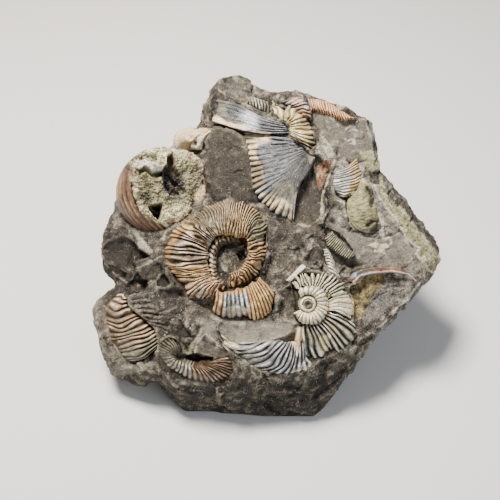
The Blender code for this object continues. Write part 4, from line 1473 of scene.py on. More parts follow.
UPPER_HEART = UPPER.guides(
    (0, 480, 280, 472, 245, 465, 205), (1, 520, 322, 530, 280, 520, 232),
    (2.5, 548, 332, 575, 285, 600, 245), (4, 560, 342, 620, 305, 655, 285),
    (5.5, 566, 355, 640, 335, 690, 330), (7, 570, 370, 650, 370, 718, 375),
    (8.5, 573, 385, 655, 405, 735, 425), (10, 577, 400, 650, 440, 742, 470),
    (11.5, 585, 418, 640, 465, 715, 508))
UPPER_CREST = UPPER.guides(
    (0, 505, 205, 540, 195, 570, 178), (2, 545, 225, 590, 205, 640, 178),
    (4, 590, 240, 640, 225, 690, 215), (6, 625, 275, 670, 265, 715, 270),
    (8, 655, 305, 690, 305, 715, 325))
SUMMIT_COMB = UPPER.guides(
    (0, 290, 170, 295, 195, 300, 215), (1.5, 320, 168, 330, 200, 335, 235),
    (3, 350, 175, 362, 215, 365, 250), (4.5, 380, 190, 390, 225, 392, 262),
    (6, 410, 200, 418, 235, 415, 268), (7.5, 440, 205, 447, 245, 446, 280))
LEFT_RIBS = LEFT.guides(
    (0, 165, 75, 190, 80, 215, 100), (1.5, 120, 120, 165, 145, 215, 135),
    (3, 92, 165, 150, 190, 235, 165), (4.2, 90, 215, 160, 230, 270, 195),
    (5.5, 95, 265, 175, 270, 305, 220), (6.8, 110, 310, 195, 305, 335, 250),
    (8.2, 128, 350, 220, 335, 360, 275), (9.6, 145, 380, 240, 360, 378, 300),
    (11, 165, 412, 255, 400, 385, 335), (12.3, 190, 440, 275, 428, 390, 360),
    (13.6, 220, 465, 300, 450, 392, 385), (14.8, 255, 490, 320, 465, 385, 410))
MOULD_RIBS = LEFT.guides(
    (0, 215, 70, 250, 60, 300, 55), (1.5, 225, 110, 280, 105, 345, 95),
    (3, 245, 150, 310, 150, 385, 145), (4.5, 275, 190, 340, 195, 420, 200),
    (6, 305, 225, 370, 235, 445, 250), (7.3, 340, 255, 400, 270, 460, 290),
    (8.5, 375, 290, 415, 305, 450, 325))
BOTTOM_RIBS = LEFT.guides(
    (0, 515, 430, 520, 390, 500, 350), (2, 510, 432, 490, 380, 455, 338),
    (4, 505, 436, 465, 395, 415, 360), (6, 503, 440, 450, 415, 400, 395),
    (8, 503, 445, 455, 435, 405, 430), (9.6, 505, 450, 465, 458, 425, 465),
    (11.2, 508, 456, 480, 480, 455, 497), (12.8, 525, 465, 515, 495, 495, 525),
    (14.5, 550, 480, 545, 515, 535, 550), (16.2, 580, 495, 585, 535, 580, 575),
    (18, 610, 500, 640, 550, 650, 592), (20, 620, 495, 680, 545, 720, 595),
    (22, 630, 490, 710, 530, 775, 580), (24, 640, 485, 725, 510, 815, 550),
    (26, 650, 482, 735, 490, 828, 515), (28, 665, 480, 740, 472, 820, 475),
    (29.5, 690, 478, 750, 455, 800, 440))
RIGHT_RIBS = RIGHT.guides(
    (0, 290, 450, 350, 430, 400, 385), (2.5, 275, 480, 340, 465, 415, 430),
    (5, 270, 510, 335, 505, 425, 470), (7, 272, 540, 330, 540, 425, 505),
    (9.2, 285, 570, 335, 575, 415, 545), (11.2, 310, 600, 350, 605, 400, 590))
RIGHT_LOBE = RIGHT.guides(
    (0, 420, 500, 440, 497, 460, 510), (1, 400, 560, 445, 550, 495, 560),
    (2, 350, 610, 430, 610, 508, 620), (3, 345, 670, 430, 670, 515, 680),
    (4, 360, 730, 440, 735, 535, 735), (5, 395, 778, 450, 785, 548, 770),
    (6, 450, 805, 480, 806, 512, 800))
TOP_COMB = RIGHT.guides(
    (0, 130, 40, 140, 75, 148, 110), (3.5, 180, 52, 185, 90, 195, 122),
    (7, 230, 68, 235, 105, 245, 138), (10, 275, 85, 282, 120, 290, 152),
    (12.5, 310, 115, 315, 140, 325, 163), (15, 355, 140, 358, 152, 365, 165),
    (17, 398, 152, 399, 157, 402, 162))
FINE_STRIP = RIGHT.guides(
    (0, 262, 795, 245, 810, 222, 825), (4, 290, 825, 268, 850, 245, 870),
    (8, 320, 860, 300, 885, 280, 905), (12, 355, 890, 335, 912, 320, 930),
    (16, 395, 915, 380, 935, 365, 955))
CONE_RIBS = RIGHT.guides(
    (0, 215, 900, 235, 895, 250, 905), (2, 222, 930, 245, 925, 270, 945),
    (4, 230, 960, 255, 960, 280, 985), (6, 238, 990, 262, 1000, 290, 1020),
    (7.5, 245, 1020, 270, 1035, 295, 1050))
CUP_ARC = RIGHT.guides(
    (0, 405, 1090, 370, 1078), (1, 432, 1055, 396, 1032), (2, 500, 1036, 450, 1008),
    (4, 600, 1030, 560, 996), (6, 680, 1042, 655, 1008), (8, 745, 1085, 758, 1078))
# The eye of the cream coil: a closed ring of lines from its middle.
CREAM_CORE = CREAM.guides(*(
    (turn, *(round(place, 1) for reach in (0.5, 27, 51)
             for place in (540 + reach * cos(radians(30 * turn)),
                           255 - reach * sin(radians(30 * turn)))))
    for turn in range(13)))
TAN_END = BOWL.guides(
    (0, 703, 236, 706, 190, 742, 142, 832, 82), (1, 788, 240, 805, 185, 838, 125, 882, 90))

# The large coil in the middle, with its inner whorl and the flake below it.
CENTRAL_PIECE = ShellPiece(
    "central_ammonite_shell", "copper_shell", "central_ammonite", Seat((-10.2, -9.7, 40.4), -5, 52), (
        Loft(CENTRAL_RIBS, rows=1000, columns=30, lift=0.0, tilt=-2.2, crown=3.8, rib_height=1.1,
             crisp=0.9, fork=0.45, forked=((0, 0.0), (0.38, 0.0), (0.46, 1.0), (0.7, 1.0), (0.75, 0.0),
             (1, 0.0)), knob=0.6, wander=0.8, scallop=0.9, ragged=0.9, bulge=((0, 0.5), (0.12, 1.0),
             (0.6, 1.0), (0.75, 0.7), (1, 0.45))),
        Loft(CENTRAL_CORE, rows=200, columns=14, lift=-1.4, crown=1.0, rib_height=0.5, crisp=1.0,
             wander=0.3),
        Loft(CENTRAL_FLAKE, rows=260, columns=26, lift=0.0, tilt=-1.6, crown=2.9, rib_height=0.9,
             crisp=0.8, wander=0.12, scallop=0.3, ragged=0.9)),
    Shade.TAN, (
        # The coil's dark left side, its top, and the crust and spots on them.
        Patch(MIDDLE(370, 580, 120, 600, 80, 440, 150, 320, 240, 240, 300, 180, 420, 330, 400, 420,
              380, 500), Shade.BRONZE, soft=5),
        Patch(MIDDLE(400, 110, 730, 150, 760, 250, 640, 330, 460, 330, 420, 240), Shade.TAN, soft=5),
        Patch(MIDDLE(300, 170, 400, 150, 440, 250, 400, 330, 340, 250), Shade.LICHEN, 0.55, soft=4),
        Patch(MIDDLE(650, 180, 760, 260, 750, 350, 660, 370, 620, 330, 640, 260), Shade.LICHEN, 0.9,
              lumps=0.45, ragged=3),
        Patch(MIDDLE(240, 240, 170, 320, 130, 380, 110, 440, 120, 520, 200, 590), Shade.GOLD, 0.9,
              width=5, ragged=1.5, lumps=0.25, polish=0.6),
        Patch(MIDDLE(140, 500, 360, 520, 350, 590, 200, 610, 120, 560), Shade.GOLD, 0.7, soft=4),
        Patch(MIDDLE(240, 262, 275, 262, 275, 310, 240, 312), "#d6c47e", 0.8),
        Patch(MIDDLE(428, 240, 470, 240, 468, 312, 440, 300), "#e6d8b4", 0.9, lumps=0.2),
        # Its foot and its right side.
        Patch(MIDDLE(225, 620, 400, 590, 450, 640, 420, 750, 240, 750), "#c9a98c", 0.6, soft=4),
        Patch(MIDDLE(300, 650, 350, 640, 350, 720, 290, 740), Shade.CHALK, 0.8, lumps=0.3),
        Patch(MIDDLE(600, 370, 760, 370, 750, 520, 640, 640, 480, 660, 480, 560, 600, 500), Shade.COPPER,
              0.8, soft=4),
        # Its navel.
        Patch(MIDDLE(600, 380, 560, 340, 480, 355, 440, 365, 405, 430, 400, 520, 420, 600, 480, 650,
              510, 600, 480, 580, 460, 530, 460, 470, 485, 420, 540, 395), Shade.NAVEL, 0.95,
              lumps=0.1),
        Patch(MIDDLE(366, 350, 395, 345, 420, 350, 400, 430, 400, 500, 370, 500), Shade.INK, 0.75,
              soft=3),
        # The flake below it.
        Patch(MIDDLE(425, 670, 478, 680, 470, 810, 400, 815), Shade.COPPER),
        Patch(MIDDLE(478, 680, 640, 660, 650, 790, 640, 860, 470, 855), Shade.STEEL),
        Patch(MIDDLE(475, 672, 640, 655, 650, 700, 475, 705), Shade.GOLD, 0.85),
        Patch(MIDDLE(640, 600, 810, 600, 810, 880, 650, 880, 636, 760), Shade.GOLD),
        Patch(MIDDLE(480, 790, 560, 770, 640, 800, 620, 870, 470, 870), Shade.CHALK, 0.85, lumps=0.4,
              polish=0.6),
        Patch(MIDDLE(590, 830, 650, 820, 670, 880, 590, 880), Shade.RUST, 0.9),
    ), bounds=(
        Ring(edge=((329, 15.8), (312, 18.3), (285, 17), (222, 16.5), (178, 19.4), (139, 16.8),
             (97, 17.8), (61, 16), (33, 11.6), (2, 9.6), (-31, 8.4), (-60, 8.1), (-172, 6.9),
             (-220, 7.3), (-276, 6.4), (-340, 4.4), (-384, 3.4), (-700, 2.6))),), floor=2.8, grit=0.34,
             flake=0.9)

# The cream coil on the right, with its frill, plates, dark fan and the long horn to its left.
CREAM_PIECE = ShellPiece(
    "cream_ammonite_shell", "cream_shell", "cream_ammonite", Seat((11.7, -19.4, 33.5), 5, 50), (
        Loft(CREAM_COIL, rows=320, columns=16, lift=1.2, crown=1.6, rib_height=0.5, crisp=0.8,
             wander=0.1, sink=4),
        Loft(CREAM_CORE, rows=200, columns=20, lift=1.2, crown=0.9, rib_height=0.0, scallop=0.0,
             ragged=0.1, ends=0.0001, sink=4),
        Loft(CREAM_FRILL, rows=320, columns=24, lift=0.2, tilt=-2.6, crown=1.6, rib_height=1.8,
             crisp=1.5, wander=0.7, ragged=1.3, scallop=1.8),
        Loft(CREAM_PLATES, rows=160, columns=20, lift=0.2, tilt=-2.4, crown=2.2, rib_height=1.1,
             crisp=0.35, wander=0.08),
        Loft(CREAM_FAN, rows=360, columns=24, lift=0.1, tilt=-2.2, crown=1.8, rib_height=1.5, crisp=1.6,
             wander=0.3, ragged=0.8, scallop=0.6),
        Loft(CREAM_HORN, rows=420, columns=26, lift=-0.5, tilt=-1.1, crown=1.8, rib_height=0.9,
             crisp=1.1, wander=0.5, ragged=0.7),
        chip(WHOLE(286, 280.5, 301.5, 264.5, 307.5, 267, 290, 283), lift=-2.2, crown=1.0)),
    Shade.CREAM, (
        # Frill.
        Patch(CREAM(440, 60, 760, 60, 780, 200, 640, 200, 500, 160, 440, 190), Shade.CHALK),
        # Dark fan, with its silver and cream places.
        Patch(CREAM(655, 300, 830, 340, 830, 520, 640, 560, 430, 590, 460, 400, 560, 375, 620, 345),
              Shade.INK, soft=4),
        Patch(CREAM(560, 380, 620, 350, 680, 430, 640, 560, 580, 570, 540, 450), Shade.SILVER, 0.7,
              soft=5),
        Patch(CREAM(600, 440, 670, 430, 670, 500, 640, 520, 645, 550, 610, 555, 600, 500), Shade.CREAM,
              0.9, polish=0.4),
        # Horn, with the pale lines along it.
        Patch(CREAM(20, 410, 500, 440, 560, 600, 400, 680, 140, 600), Shade.SLATE, soft=3),
        Patch(CREAM(30, 420, 90, 455, 140, 500, 130, 540, 60, 500, 30, 460), Shade.CREAM, 0.9,
              lumps=0.35),
        Patch(CREAM(340, 475, 280, 500, 200, 520, 130, 515), "#e9e7dc", 0.9, width=2.2, soft=1.2,
              ragged=0.8),
        Patch(CREAM(380, 482, 310, 530, 220, 560, 180, 572), "#dcdad0", 0.8, width=1.6, soft=1.2,
              ragged=1.2),
        Patch(CREAM(530, 575, 500, 630, 470, 652), "#ffffff", 0.8, width=1.8, soft=1.2, ragged=0.8),
        Patch(CREAM(555, 575, 540, 620), "#f4f4ee", 0.8, width=1.6, soft=1.2),
        # Plates.
        Patch(CREAM(662, 200, 810, 200, 810, 350, 720, 330, 660, 300), Shade.CREAM),
        # Eye, with the grooves round it.
        Patch(CREAM(515, 255, 522, 238, 540, 230, 558, 238, 565, 255, 558, 272, 540, 280, 522, 272),
              "#2b281f", 0.97, soft=1.2, ragged=0.3, polish=0.8, lift=0.3),
        Patch(CREAM(510, 255, 519, 234, 540, 225, 561, 234, 570, 255, 561, 276, 540, 285, 519, 276,
              510, 255), "#1a1813", 0.9, width=1.1, soft=1.0, ragged=0.2, lift=-0.5),
        Patch(CREAM(487, 255, 503, 218, 540, 202, 577, 218, 593, 255, 577, 292, 540, 308, 503, 292,
              487, 255), "#4d4939", 0.8, width=1.3, soft=1.2, ragged=0.3, lift=-0.3),
        # Small places on the fan and the plates, and the loose chip at the upper left.
        Patch(CREAM(655, 385, 700, 375, 720, 420, 690, 450, 660, 430), Shade.CREAM, 0.7),
        Patch(CREAM(440, 450, 470, 400, 510, 400, 510, 450, 490, 510, 478, 560, 450, 510), Shade.SALMON,
              0.95, polish=0.7),
        Patch(CREAM(410, 110, 495, 15, 545, 30, 470, 95, 430, 140), "#efeadb", 0.95, polish=0.6),
        Patch(CREAM(690, 310, 740, 330, 735, 350, 690, 335), Shade.SILVER, 0.7),
    ), bounds=(
        Ring(edge=((258, 19.4), (284, 16.6), (303, 16.4), (326, 14.8), (349, 13.8), (367, 13.4),
             (386, 12.4), (413, 10.2), (455, 9.4), (478, 8.6), (500, 5.4), (530, 4.2), (570, 5.0),
             (618, 6.1), (663, 5.9), (702, 5.7), (765, 5.2), (840, 4.2), (960, 2.9), (980, 2.8))),
        Ring(edge=((192, 27.6), (200, 27.2), (211, 25), (226, 23), (244, 21.4), (266, 17.6)),
             inner=((192, 26.6), (198, 25.2), (207, 22.4), (215, 17.4), (226, 12.8), (237, 9.6),
             (266, 9)))), floor=2.8, worn=0.5)

# The steel-grey shell at the top: a band, a fan of ribs and the cream inner part.
UPPER_PIECE = ShellPiece(
    "upper_ammonite_shell", "steel_shell", "upper_ammonite", Seat((11.5, 22.7, 60.4), -12, 54), (
        Loft(UPPER_BAND, rows=280, columns=44, lift=0.8, tilt=-1.8, crown=2.6, fall=0.6, rib_height=1.0,
             crisp=0.8, wander=0.3, rib_reach=((0, 0.8), (0.3, 0.4), (0.5, 0.12), (1, 0.1))),
        Loft(UPPER_FAN, rows=620, columns=44, lift=0.3, tilt=-1.8, crown=2.4, fall=0.5, rib_height=1.1,
             crisp=0.7, wander=0.25, rib_reach=((0, 0.45), (0.15, 0.22), (0.6, 0.12), (0.8, 0.22),
             (0.9, 1.0), (1, 1.3)), scallop=0.9, ragged=0.6),
        Loft(UPPER_HEART, rows=280, columns=30, lift=1.0, tilt=-2.2, crown=2.2, rib_height=1.2,
             crisp=1.0, wander=0.5, ragged=1.0, scallop=0.8, rib_reach=((0, 0.3), (0.3, 1.0), (1, 1.0)),
             sink=4),
        Loft(UPPER_CREST, rows=160, columns=14, lift=-1.4, crown=2.0, rib_height=0.8, wander=0.4,
             sink=4)),
    Shade.STEEL, (
        # Band: dark ends, a painted sheen on its bright middle and a salmon lower edge.
        Patch(UPPER(85, 225, 230, 215, 290, 260, 300, 330, 270, 350, 150, 325, 90, 290), Shade.GUNMETAL,
              soft=5),
        Patch(UPPER(270, 270, 350, 280, 380, 340, 350, 395, 300, 390, 270, 340), Shade.SHEEN, 0.9,
              soft=8),
        Patch(UPPER(380, 320, 480, 340, 570, 360, 575, 430, 450, 415, 390, 390), Shade.GUNMETAL, 0.8,
              soft=6),
        Patch(UPPER(85, 305, 110, 292, 160, 325, 220, 345, 285, 350, 300, 390, 270, 395, 200, 380,
              130, 352, 80, 330), Shade.SALMON, 0.95, polish=0.85, ragged=1.0),
        # Fan of ribs: a pearly middle, a salmon left side and foot, and a dark right side.
        Patch(UPPER(360, 540, 400, 500, 470, 490, 560, 470, 660, 500, 700, 530, 680, 570, 620, 640,
              615, 700, 590, 760, 560, 800, 540, 830, 470, 800, 410, 790, 385, 770, 405, 700, 400, 640,
              370, 590), Shade.PEARL, soft=3),
        Patch(UPPER(285, 395, 450, 400, 456, 445, 420, 472, 375, 482, 360, 530, 380, 590, 405, 640,
              408, 745, 350, 775, 325, 700, 325, 620, 310, 520, 280, 440), Shade.SALMON, 0.95,
              ragged=1.0, soft=1.4),
        Patch(UPPER(285, 395, 450, 400, 456, 445, 420, 472, 375, 482, 360, 540, 320, 540, 300, 470,
              280, 440), None, polish=0.9),
        Patch(UPPER(325, 585, 395, 600, 408, 745, 350, 775, 330, 700), Shade.BARK, 0.8, soft=2),
        Patch(UPPER(385, 785, 450, 800, 545, 830, 610, 900, 600, 960, 520, 930, 430, 880), Shade.SALMON,
              0.9, ragged=1.5, soft=1.5),
        Patch(UPPER(500, 900, 600, 890, 640, 960, 620, 1000, 560, 980), Shade.CHALK, 0.9, lumps=0.5),
        Patch(UPPER(555, 480, 690, 535, 640, 640, 600, 720, 560, 830, 470, 800, 520, 700, 570, 600),
              "#5b5a58", 0.65, soft=6),
        Patch(UPPER(600, 700, 640, 640, 700, 530, 790, 520, 790, 640, 660, 760, 580, 840, 540, 830),
              "#3d3b38", 0.85, soft=4),
        # Inner part, with its pale rim and its hollow in painted shade.
        Patch(UPPER(460, 195, 520, 235, 600, 240, 660, 300, 740, 420, 745, 490, 700, 520, 600, 450,
              570, 380, 540, 340, 480, 285), Shade.BUTTER, soft=2),
        Patch(UPPER(620, 240, 700, 300, 735, 400, 720, 450, 650, 380, 600, 300), "#e5cf94", 0.7, soft=3,
              lumps=0.3),
        Patch(UPPER(520, 240, 560, 240, 600, 330, 590, 370, 560, 330), "#8f7a4c", 0.6, soft=2,
              lumps=0.3),
        Patch(UPPER(575, 400, 600, 440, 650, 480, 710, 512), "#f0dc96", 0.9, width=3.2, soft=1.2,
              ragged=0.8),
        Patch(UPPER(505, 205, 530, 205, 560, 235, 545, 255, 515, 245), "#1c1914", soft=1.2, ragged=0.8,
              lift=-1.2),
        Patch(UPPER(545, 200, 600, 178, 665, 178, 655, 212, 580, 224), "#d9b3a0", 0.9, polish=0.5),
        # Rust and crystals on the right, with a small pit in painted shade.
        Patch(UPPER(590, 230, 640, 215, 720, 270, 720, 330, 660, 310), Shade.RUST, 0.7),
        Patch(UPPER(690, 440, 750, 420, 800, 480, 790, 570, 740, 580, 700, 520), Shade.CALCITE,
              lumps=0.5),
        Patch(UPPER(745, 500, 768, 500, 770, 535, 748, 535), "#15130e", soft=1.0, ragged=0.5,
              lift=-1.2),
        # Dark lines at the head of the fan.
        Patch(UPPER(450, 412, 520, 425, 575, 430), "#202124", 0.9, width=1.4, soft=1.0, ragged=0.4,
              lift=-0.4),
        Patch(UPPER(440, 442, 520, 452, 592, 458, 645, 482), "#202124", 0.9, width=1.2, soft=1.0,
              ragged=0.4, lift=-0.4),
        Patch(UPPER(460, 480, 560, 478, 640, 495), "#2a2b2d", 0.7, width=1.2, soft=1.0, ragged=0.4,
              lift=-0.3),
    ), bounds=(
        Ring(edge=((158, 32.2), (170, 31.2), (179, 23.2), (186, 18.4), (206, 17.7), (227, 20.1),
             (251, 24.3), (270, 27.3), (284, 27.2), (292, 24.6), (298, 22)), inner=((158, 7.7),
             (192, 4.8), (224, 3.7), (260, 3.6), (298, 6))),), floor=1.6)

# A short comb of ribs above it.
SUMMIT_PIECE = ShellPiece(
    "summit_shell_ribs", "dark_shell", "summit_ammonite", Seat((-23.7, 17.7, 48.2), -12, 52), (
        Loft(SUMMIT_COMB, rows=200, columns=12, lift=0.1, crown=1.0, rib_height=0.8, crisp=1.1,
             wander=0.2),),
    Shade.ASH, (), bounds=(
        Ring(edge=((82, 34.4), (75, 33.9), (65, 33.5), (57, 33.7), (48, 33.6)), inner=((82, 31),
             (71, 29.8), (62, 29.6), (54, 30.5), (48, 31.2))),), floor=0.4)

# The strongly ribbed whorl on the lower left.
LEFT_PIECE = ShellPiece(
    "lower_left_shell", "rosy_shell", "lower_left_ammonite", Seat((-20.2, -14.3, 35.2), -25, 45), (
        Loft(LEFT_RIBS, rows=420, columns=36, lift=-1.6, tilt=1.6, crown=4.6, fall=0.8, rib_height=1.1,
             crisp=1.2, wander=0.5, ragged=0.4, ends=0.1, sink=6),),
    Shade.ROSE, (
        # Copper outer edge, mossy foot, pale spot and dark streak.
        Patch(LEFT(85, 100, 80, 200, 95, 300, 145, 400), Shade.COPPER, 0.9, width=5, ragged=2),
        Patch(LEFT(150, 400, 260, 395, 390, 330, 400, 420, 300, 520, 180, 460), Shade.MOSS, 0.9,
              soft=5),
        Patch(LEFT(350, 320, 380, 320, 380, 355, 350, 355), "#b7ae9c", 0.9, polish=0.9),
        Patch(LEFT(90, 170, 160, 200, 220, 180, 230, 200, 160, 240, 90, 220), Shade.UMBER, 0.5, soft=4),
    ), bounds=(
        Ring(edge=((200, 31), (207, 32.8), (224, 33.2), (234, 34.4), (243, 33.4), (248, 30)),
             inner=((200, 24), (212, 24.6), (220, 21.8), (230, 20.1), (241, 19.4), (248, 22))),),
             floor=1.2)

# The small dark shell at the bottom, two lobes round a hollow.
BOTTOM_PIECE = ShellPiece(
    "bottom_shell", "brown_shell", "bottom_ammonite", Seat((-20.8, -31.3, 22.2), -8, 30), (
        Loft(BOTTOM_RIBS, rows=760, columns=22, lift=-0.4, tilt=-1.0, crown=2.9, rib_height=0.7,
             crisp=0.9, wander=0.15, ragged=0.2, sink=5),),
    Shade.UMBER, (
        # Right lobe, then left lobe.
        Patch(LEFT(590, 490, 650, 480, 840, 420, 850, 560, 760, 620, 600, 600), Shade.BARK, soft=5),
        Patch(LEFT(430, 440, 530, 440, 600, 500, 590, 580, 500, 560, 440, 500), Shade.INK, 0.7, soft=5),
    ), bounds=(
        Ring(edge=((135, 9.4), (156, 11.4), (180, 10), (205, 7.6), (230, 6.2), (255, 5.8), (287, 7),
             (316, 8.7), (345, 10.8), (374, 10.2)), inner=((135, 6.8), (160, 5.2), (190, 4.4),
             (214, 3.2), (245, 2.0), (317, 2.0), (350, 4.2), (374, 5))),), floor=1.2)

# The ribbed shell on the upper right, with its crystal lobe.
RIGHT_PIECE = ShellPiece(
    "right_shell", "olive_shell", "right_ammonite", Seat((26.8, 9.9, 50.6), 10, 56), (
        Loft(RIGHT_RIBS, rows=260, columns=22, lift=-1.5, crown=2.2, rib_height=0.5, crisp=0.9,
             wander=0.5, ragged=0.6),
        Loft(RIGHT_LOBE, rows=240, columns=30, lift=-1.6, crown=3.2, fall=0.5, rib_height=0.0,
             ragged=0.4, scallop=0.0, ends=0.2)),
    Shade.CALCITE, (
        # Ribs, frosted on the left and tan on the right.
        Patch(RIGHT(250, 430, 345, 430, 380, 480, 350, 560, 320, 610, 265, 590), Shade.FROST),
        Patch(RIGHT(345, 420, 440, 370, 435, 520, 400, 600, 345, 610, 350, 560, 380, 480), Shade.TAN,
              soft=1.5),
        # Crystal lobe, with its pale edge and two dark pits.
        Patch(RIGHT(335, 600, 430, 520, 520, 560, 560, 780, 450, 820, 340, 720), Shade.OLIVE,
              lumps=0.9),
        Patch(RIGHT(345, 650, 360, 725, 395, 775, 450, 803, 510, 800), "#ddd6b4", 0.9, width=2.6,
              soft=1.4, ragged=1.0),
        Patch(RIGHT(465, 550, 485, 575, 492, 610, 488, 650), "#3f3b2a", 0.85, width=4.0, lift=-0.9,
              ragged=2.0),
        Patch(RIGHT(470, 760, 490, 740, 520, 735, 525, 770, 495, 785), "#46423a", 0.85, width=3.0,
              lift=-0.9, ragged=2.0),
    ), bounds=(
        Ring(edge=((142, 7.8), (111, 7.2), (88, 6.2), (70, 4.2), (38, 4), (-7, 5), (-50, 7), (-63, 11.4),
             (-75, 14), (-90, 12.8), (-105, 10.4), (-123, 7.2), (-143, 5.0), (-170, 6.2), (-195, 7.2),
             (-218, 7.8))),), floor=1.8)

# The thin peach strip of ribs along the upper right edge.
TOP_PIECE = ShellPiece(
    "top_shell_ribs", "peach_shell", "top_ammonite", Seat((16.3, 8.7, 52.5), 12, 62), (
        Loft(TOP_COMB, rows=300, columns=14, lift=-1.0, tilt=0.8, crown=1.5, rib_height=0.8, crisp=0.9,
             wander=0.3, ragged=0.5),),
    Shade.PEACH, (), bounds=(
        Ring(edge=((89, 31.8), (84, 30.7), (76, 29.4), (68, 29.2), (59, 28.3), (52, 26.6)),
             inner=((89, 28.8), (84, 27.3), (76, 25.6), (66, 24.7), (57, 24.6), (52, 24.8))),),
             floor=1.4)

# The smooth piece of whorl above the crystals.
TAN_PIECE = ShellPiece(
    "tan_whorl_shell", "tan_shell", "tan_whorl", Seat((-22.5, 26.8, 57.0), -10, 48), (
        Dome(edge=((35, 7.0), (49, 5.4), (83, 3.8), (127, 4.4), (153, 5.6), (178, 6.3), (201, 6.1),
             (222, 4.8), (273, 3.4), (314, 4.3), (357, 4.1), (395, 7.0)), rows=300, columns=20, rim=-2.0,
             top=2.6, crown=0.7, sink=4.0, ragged=0.05),
        Loft(TAN_END, rows=80, columns=30, lift=1.6, crown=1.2, rib_height=0.0, ends=0.3, ragged=0.3,
             scallop=0.0)),
    Shade.BUFF, (
        # White crust at its end, with a peach rim and a crack.
        Patch(BOWL(705, 190, 740, 150, 830, 90, 900, 60, 900, 150, 800, 240, 720, 240), "#e6ddc4", 0.95,
              lumps=0.4, ragged=1),
        Patch(BOWL(720, 235, 702, 190, 738, 145, 830, 85, 880, 60), Shade.PEACH, 0.9, width=2.2,
              soft=1.2, ragged=0.8, lift=0.3),
        Patch(BOWL(735, 180, 750, 188, 745, 200), "#2c2a22", 0.9, width=1.5, lift=-0.5),
    ), worn=0.15, flake=0.25, mottle=0.12)

# The edge of a broken shell wall that stands out of the rock on the right.
CUP_PIECE = ShellPiece(
    "shell_cup_wall", "nacre", "shell_cup", Seat((34.8, -15.1, 30.2), 12, 46), (
        Loft(CUP_ARC, rows=260, columns=10, lift=1.2, crown=0.3, rib_height=0.05, ragged=0.15,
             scallop=0.0, sink=6.5),),
    Shade.NACRE, (
        # Lines along the broken edge.
        Patch(RIGHT(370, 1075, 400, 1035, 450, 1015, 560, 1003, 650, 1013, 720, 1045, 755, 1085),
              "#6e4a3a", 0.9, width=1.6, soft=1.2, ragged=0.4),
        Patch(RIGHT(385, 1080, 420, 1045, 480, 1028, 600, 1018, 690, 1034, 748, 1084), "#f6ece0", 0.9,
              width=1.3, soft=1.0, ragged=0.4, lift=0.2),
        Patch(RIGHT(400, 1088, 440, 1056, 520, 1038, 620, 1034, 690, 1046), "#7a6a4c", 0.8, width=1.2,
              soft=1.0, ragged=0.4),
        # Rust at the top and a bluish left end.
        Patch(RIGHT(550, 980, 660, 985, 665, 1008, 560, 1003), Shade.RUST, 0.9),
        Patch(RIGHT(360, 1010, 400, 1005, 400, 1050, 365, 1060), "#a9bcc6", 0.8, soft=1.5),
    ), worn=0.0, flake=0.1, finish=PEARLED)

# The small ribbed cone between the middle and right shells.
CONE_PIECE = ShellPiece(
    "small_ribbed_cone", "grey_shell", "small_ribbed_shell", Seat((16, -11.3, 37.2), 5, 50), (
        Loft(CONE_RIBS, rows=200, columns=12, lift=-1.7, crown=1.4, rib_height=0.7, crisp=0.8,
             wander=0.2),),
    Shade.CHALK, (), bounds=(
        Ring(edge=((142, 6.7), (116, 7.7), (93, 9.2), (75, 6.8), (46, 5), (4, 4.2)), inner=((142, 4.8),
             (122, 4.2), (95, 4), (57, 3.1), (4, 2.9))),), floor=2.0)

# The finely ribbed strip beside it.
FINE_PIECE = ShellPiece(
    "fine_ribbed_strip", "grey_shell", "fine_ribbed_shell", Seat((9.1, -14.8, 36.4), 5, 52), (
        Loft(FINE_STRIP, rows=300, columns=10, lift=-2.1, crown=0.9, rib_height=0.8, crisp=0.9,
             wander=0.2),),
    Shade.LICHEN, (), bounds=(
        Ring(edge=((61, 19.6), (45, 19.8), (29, 19.4)), inner=((61, 17), (45, 16.8), (29, 17))),),
             floor=3.0)

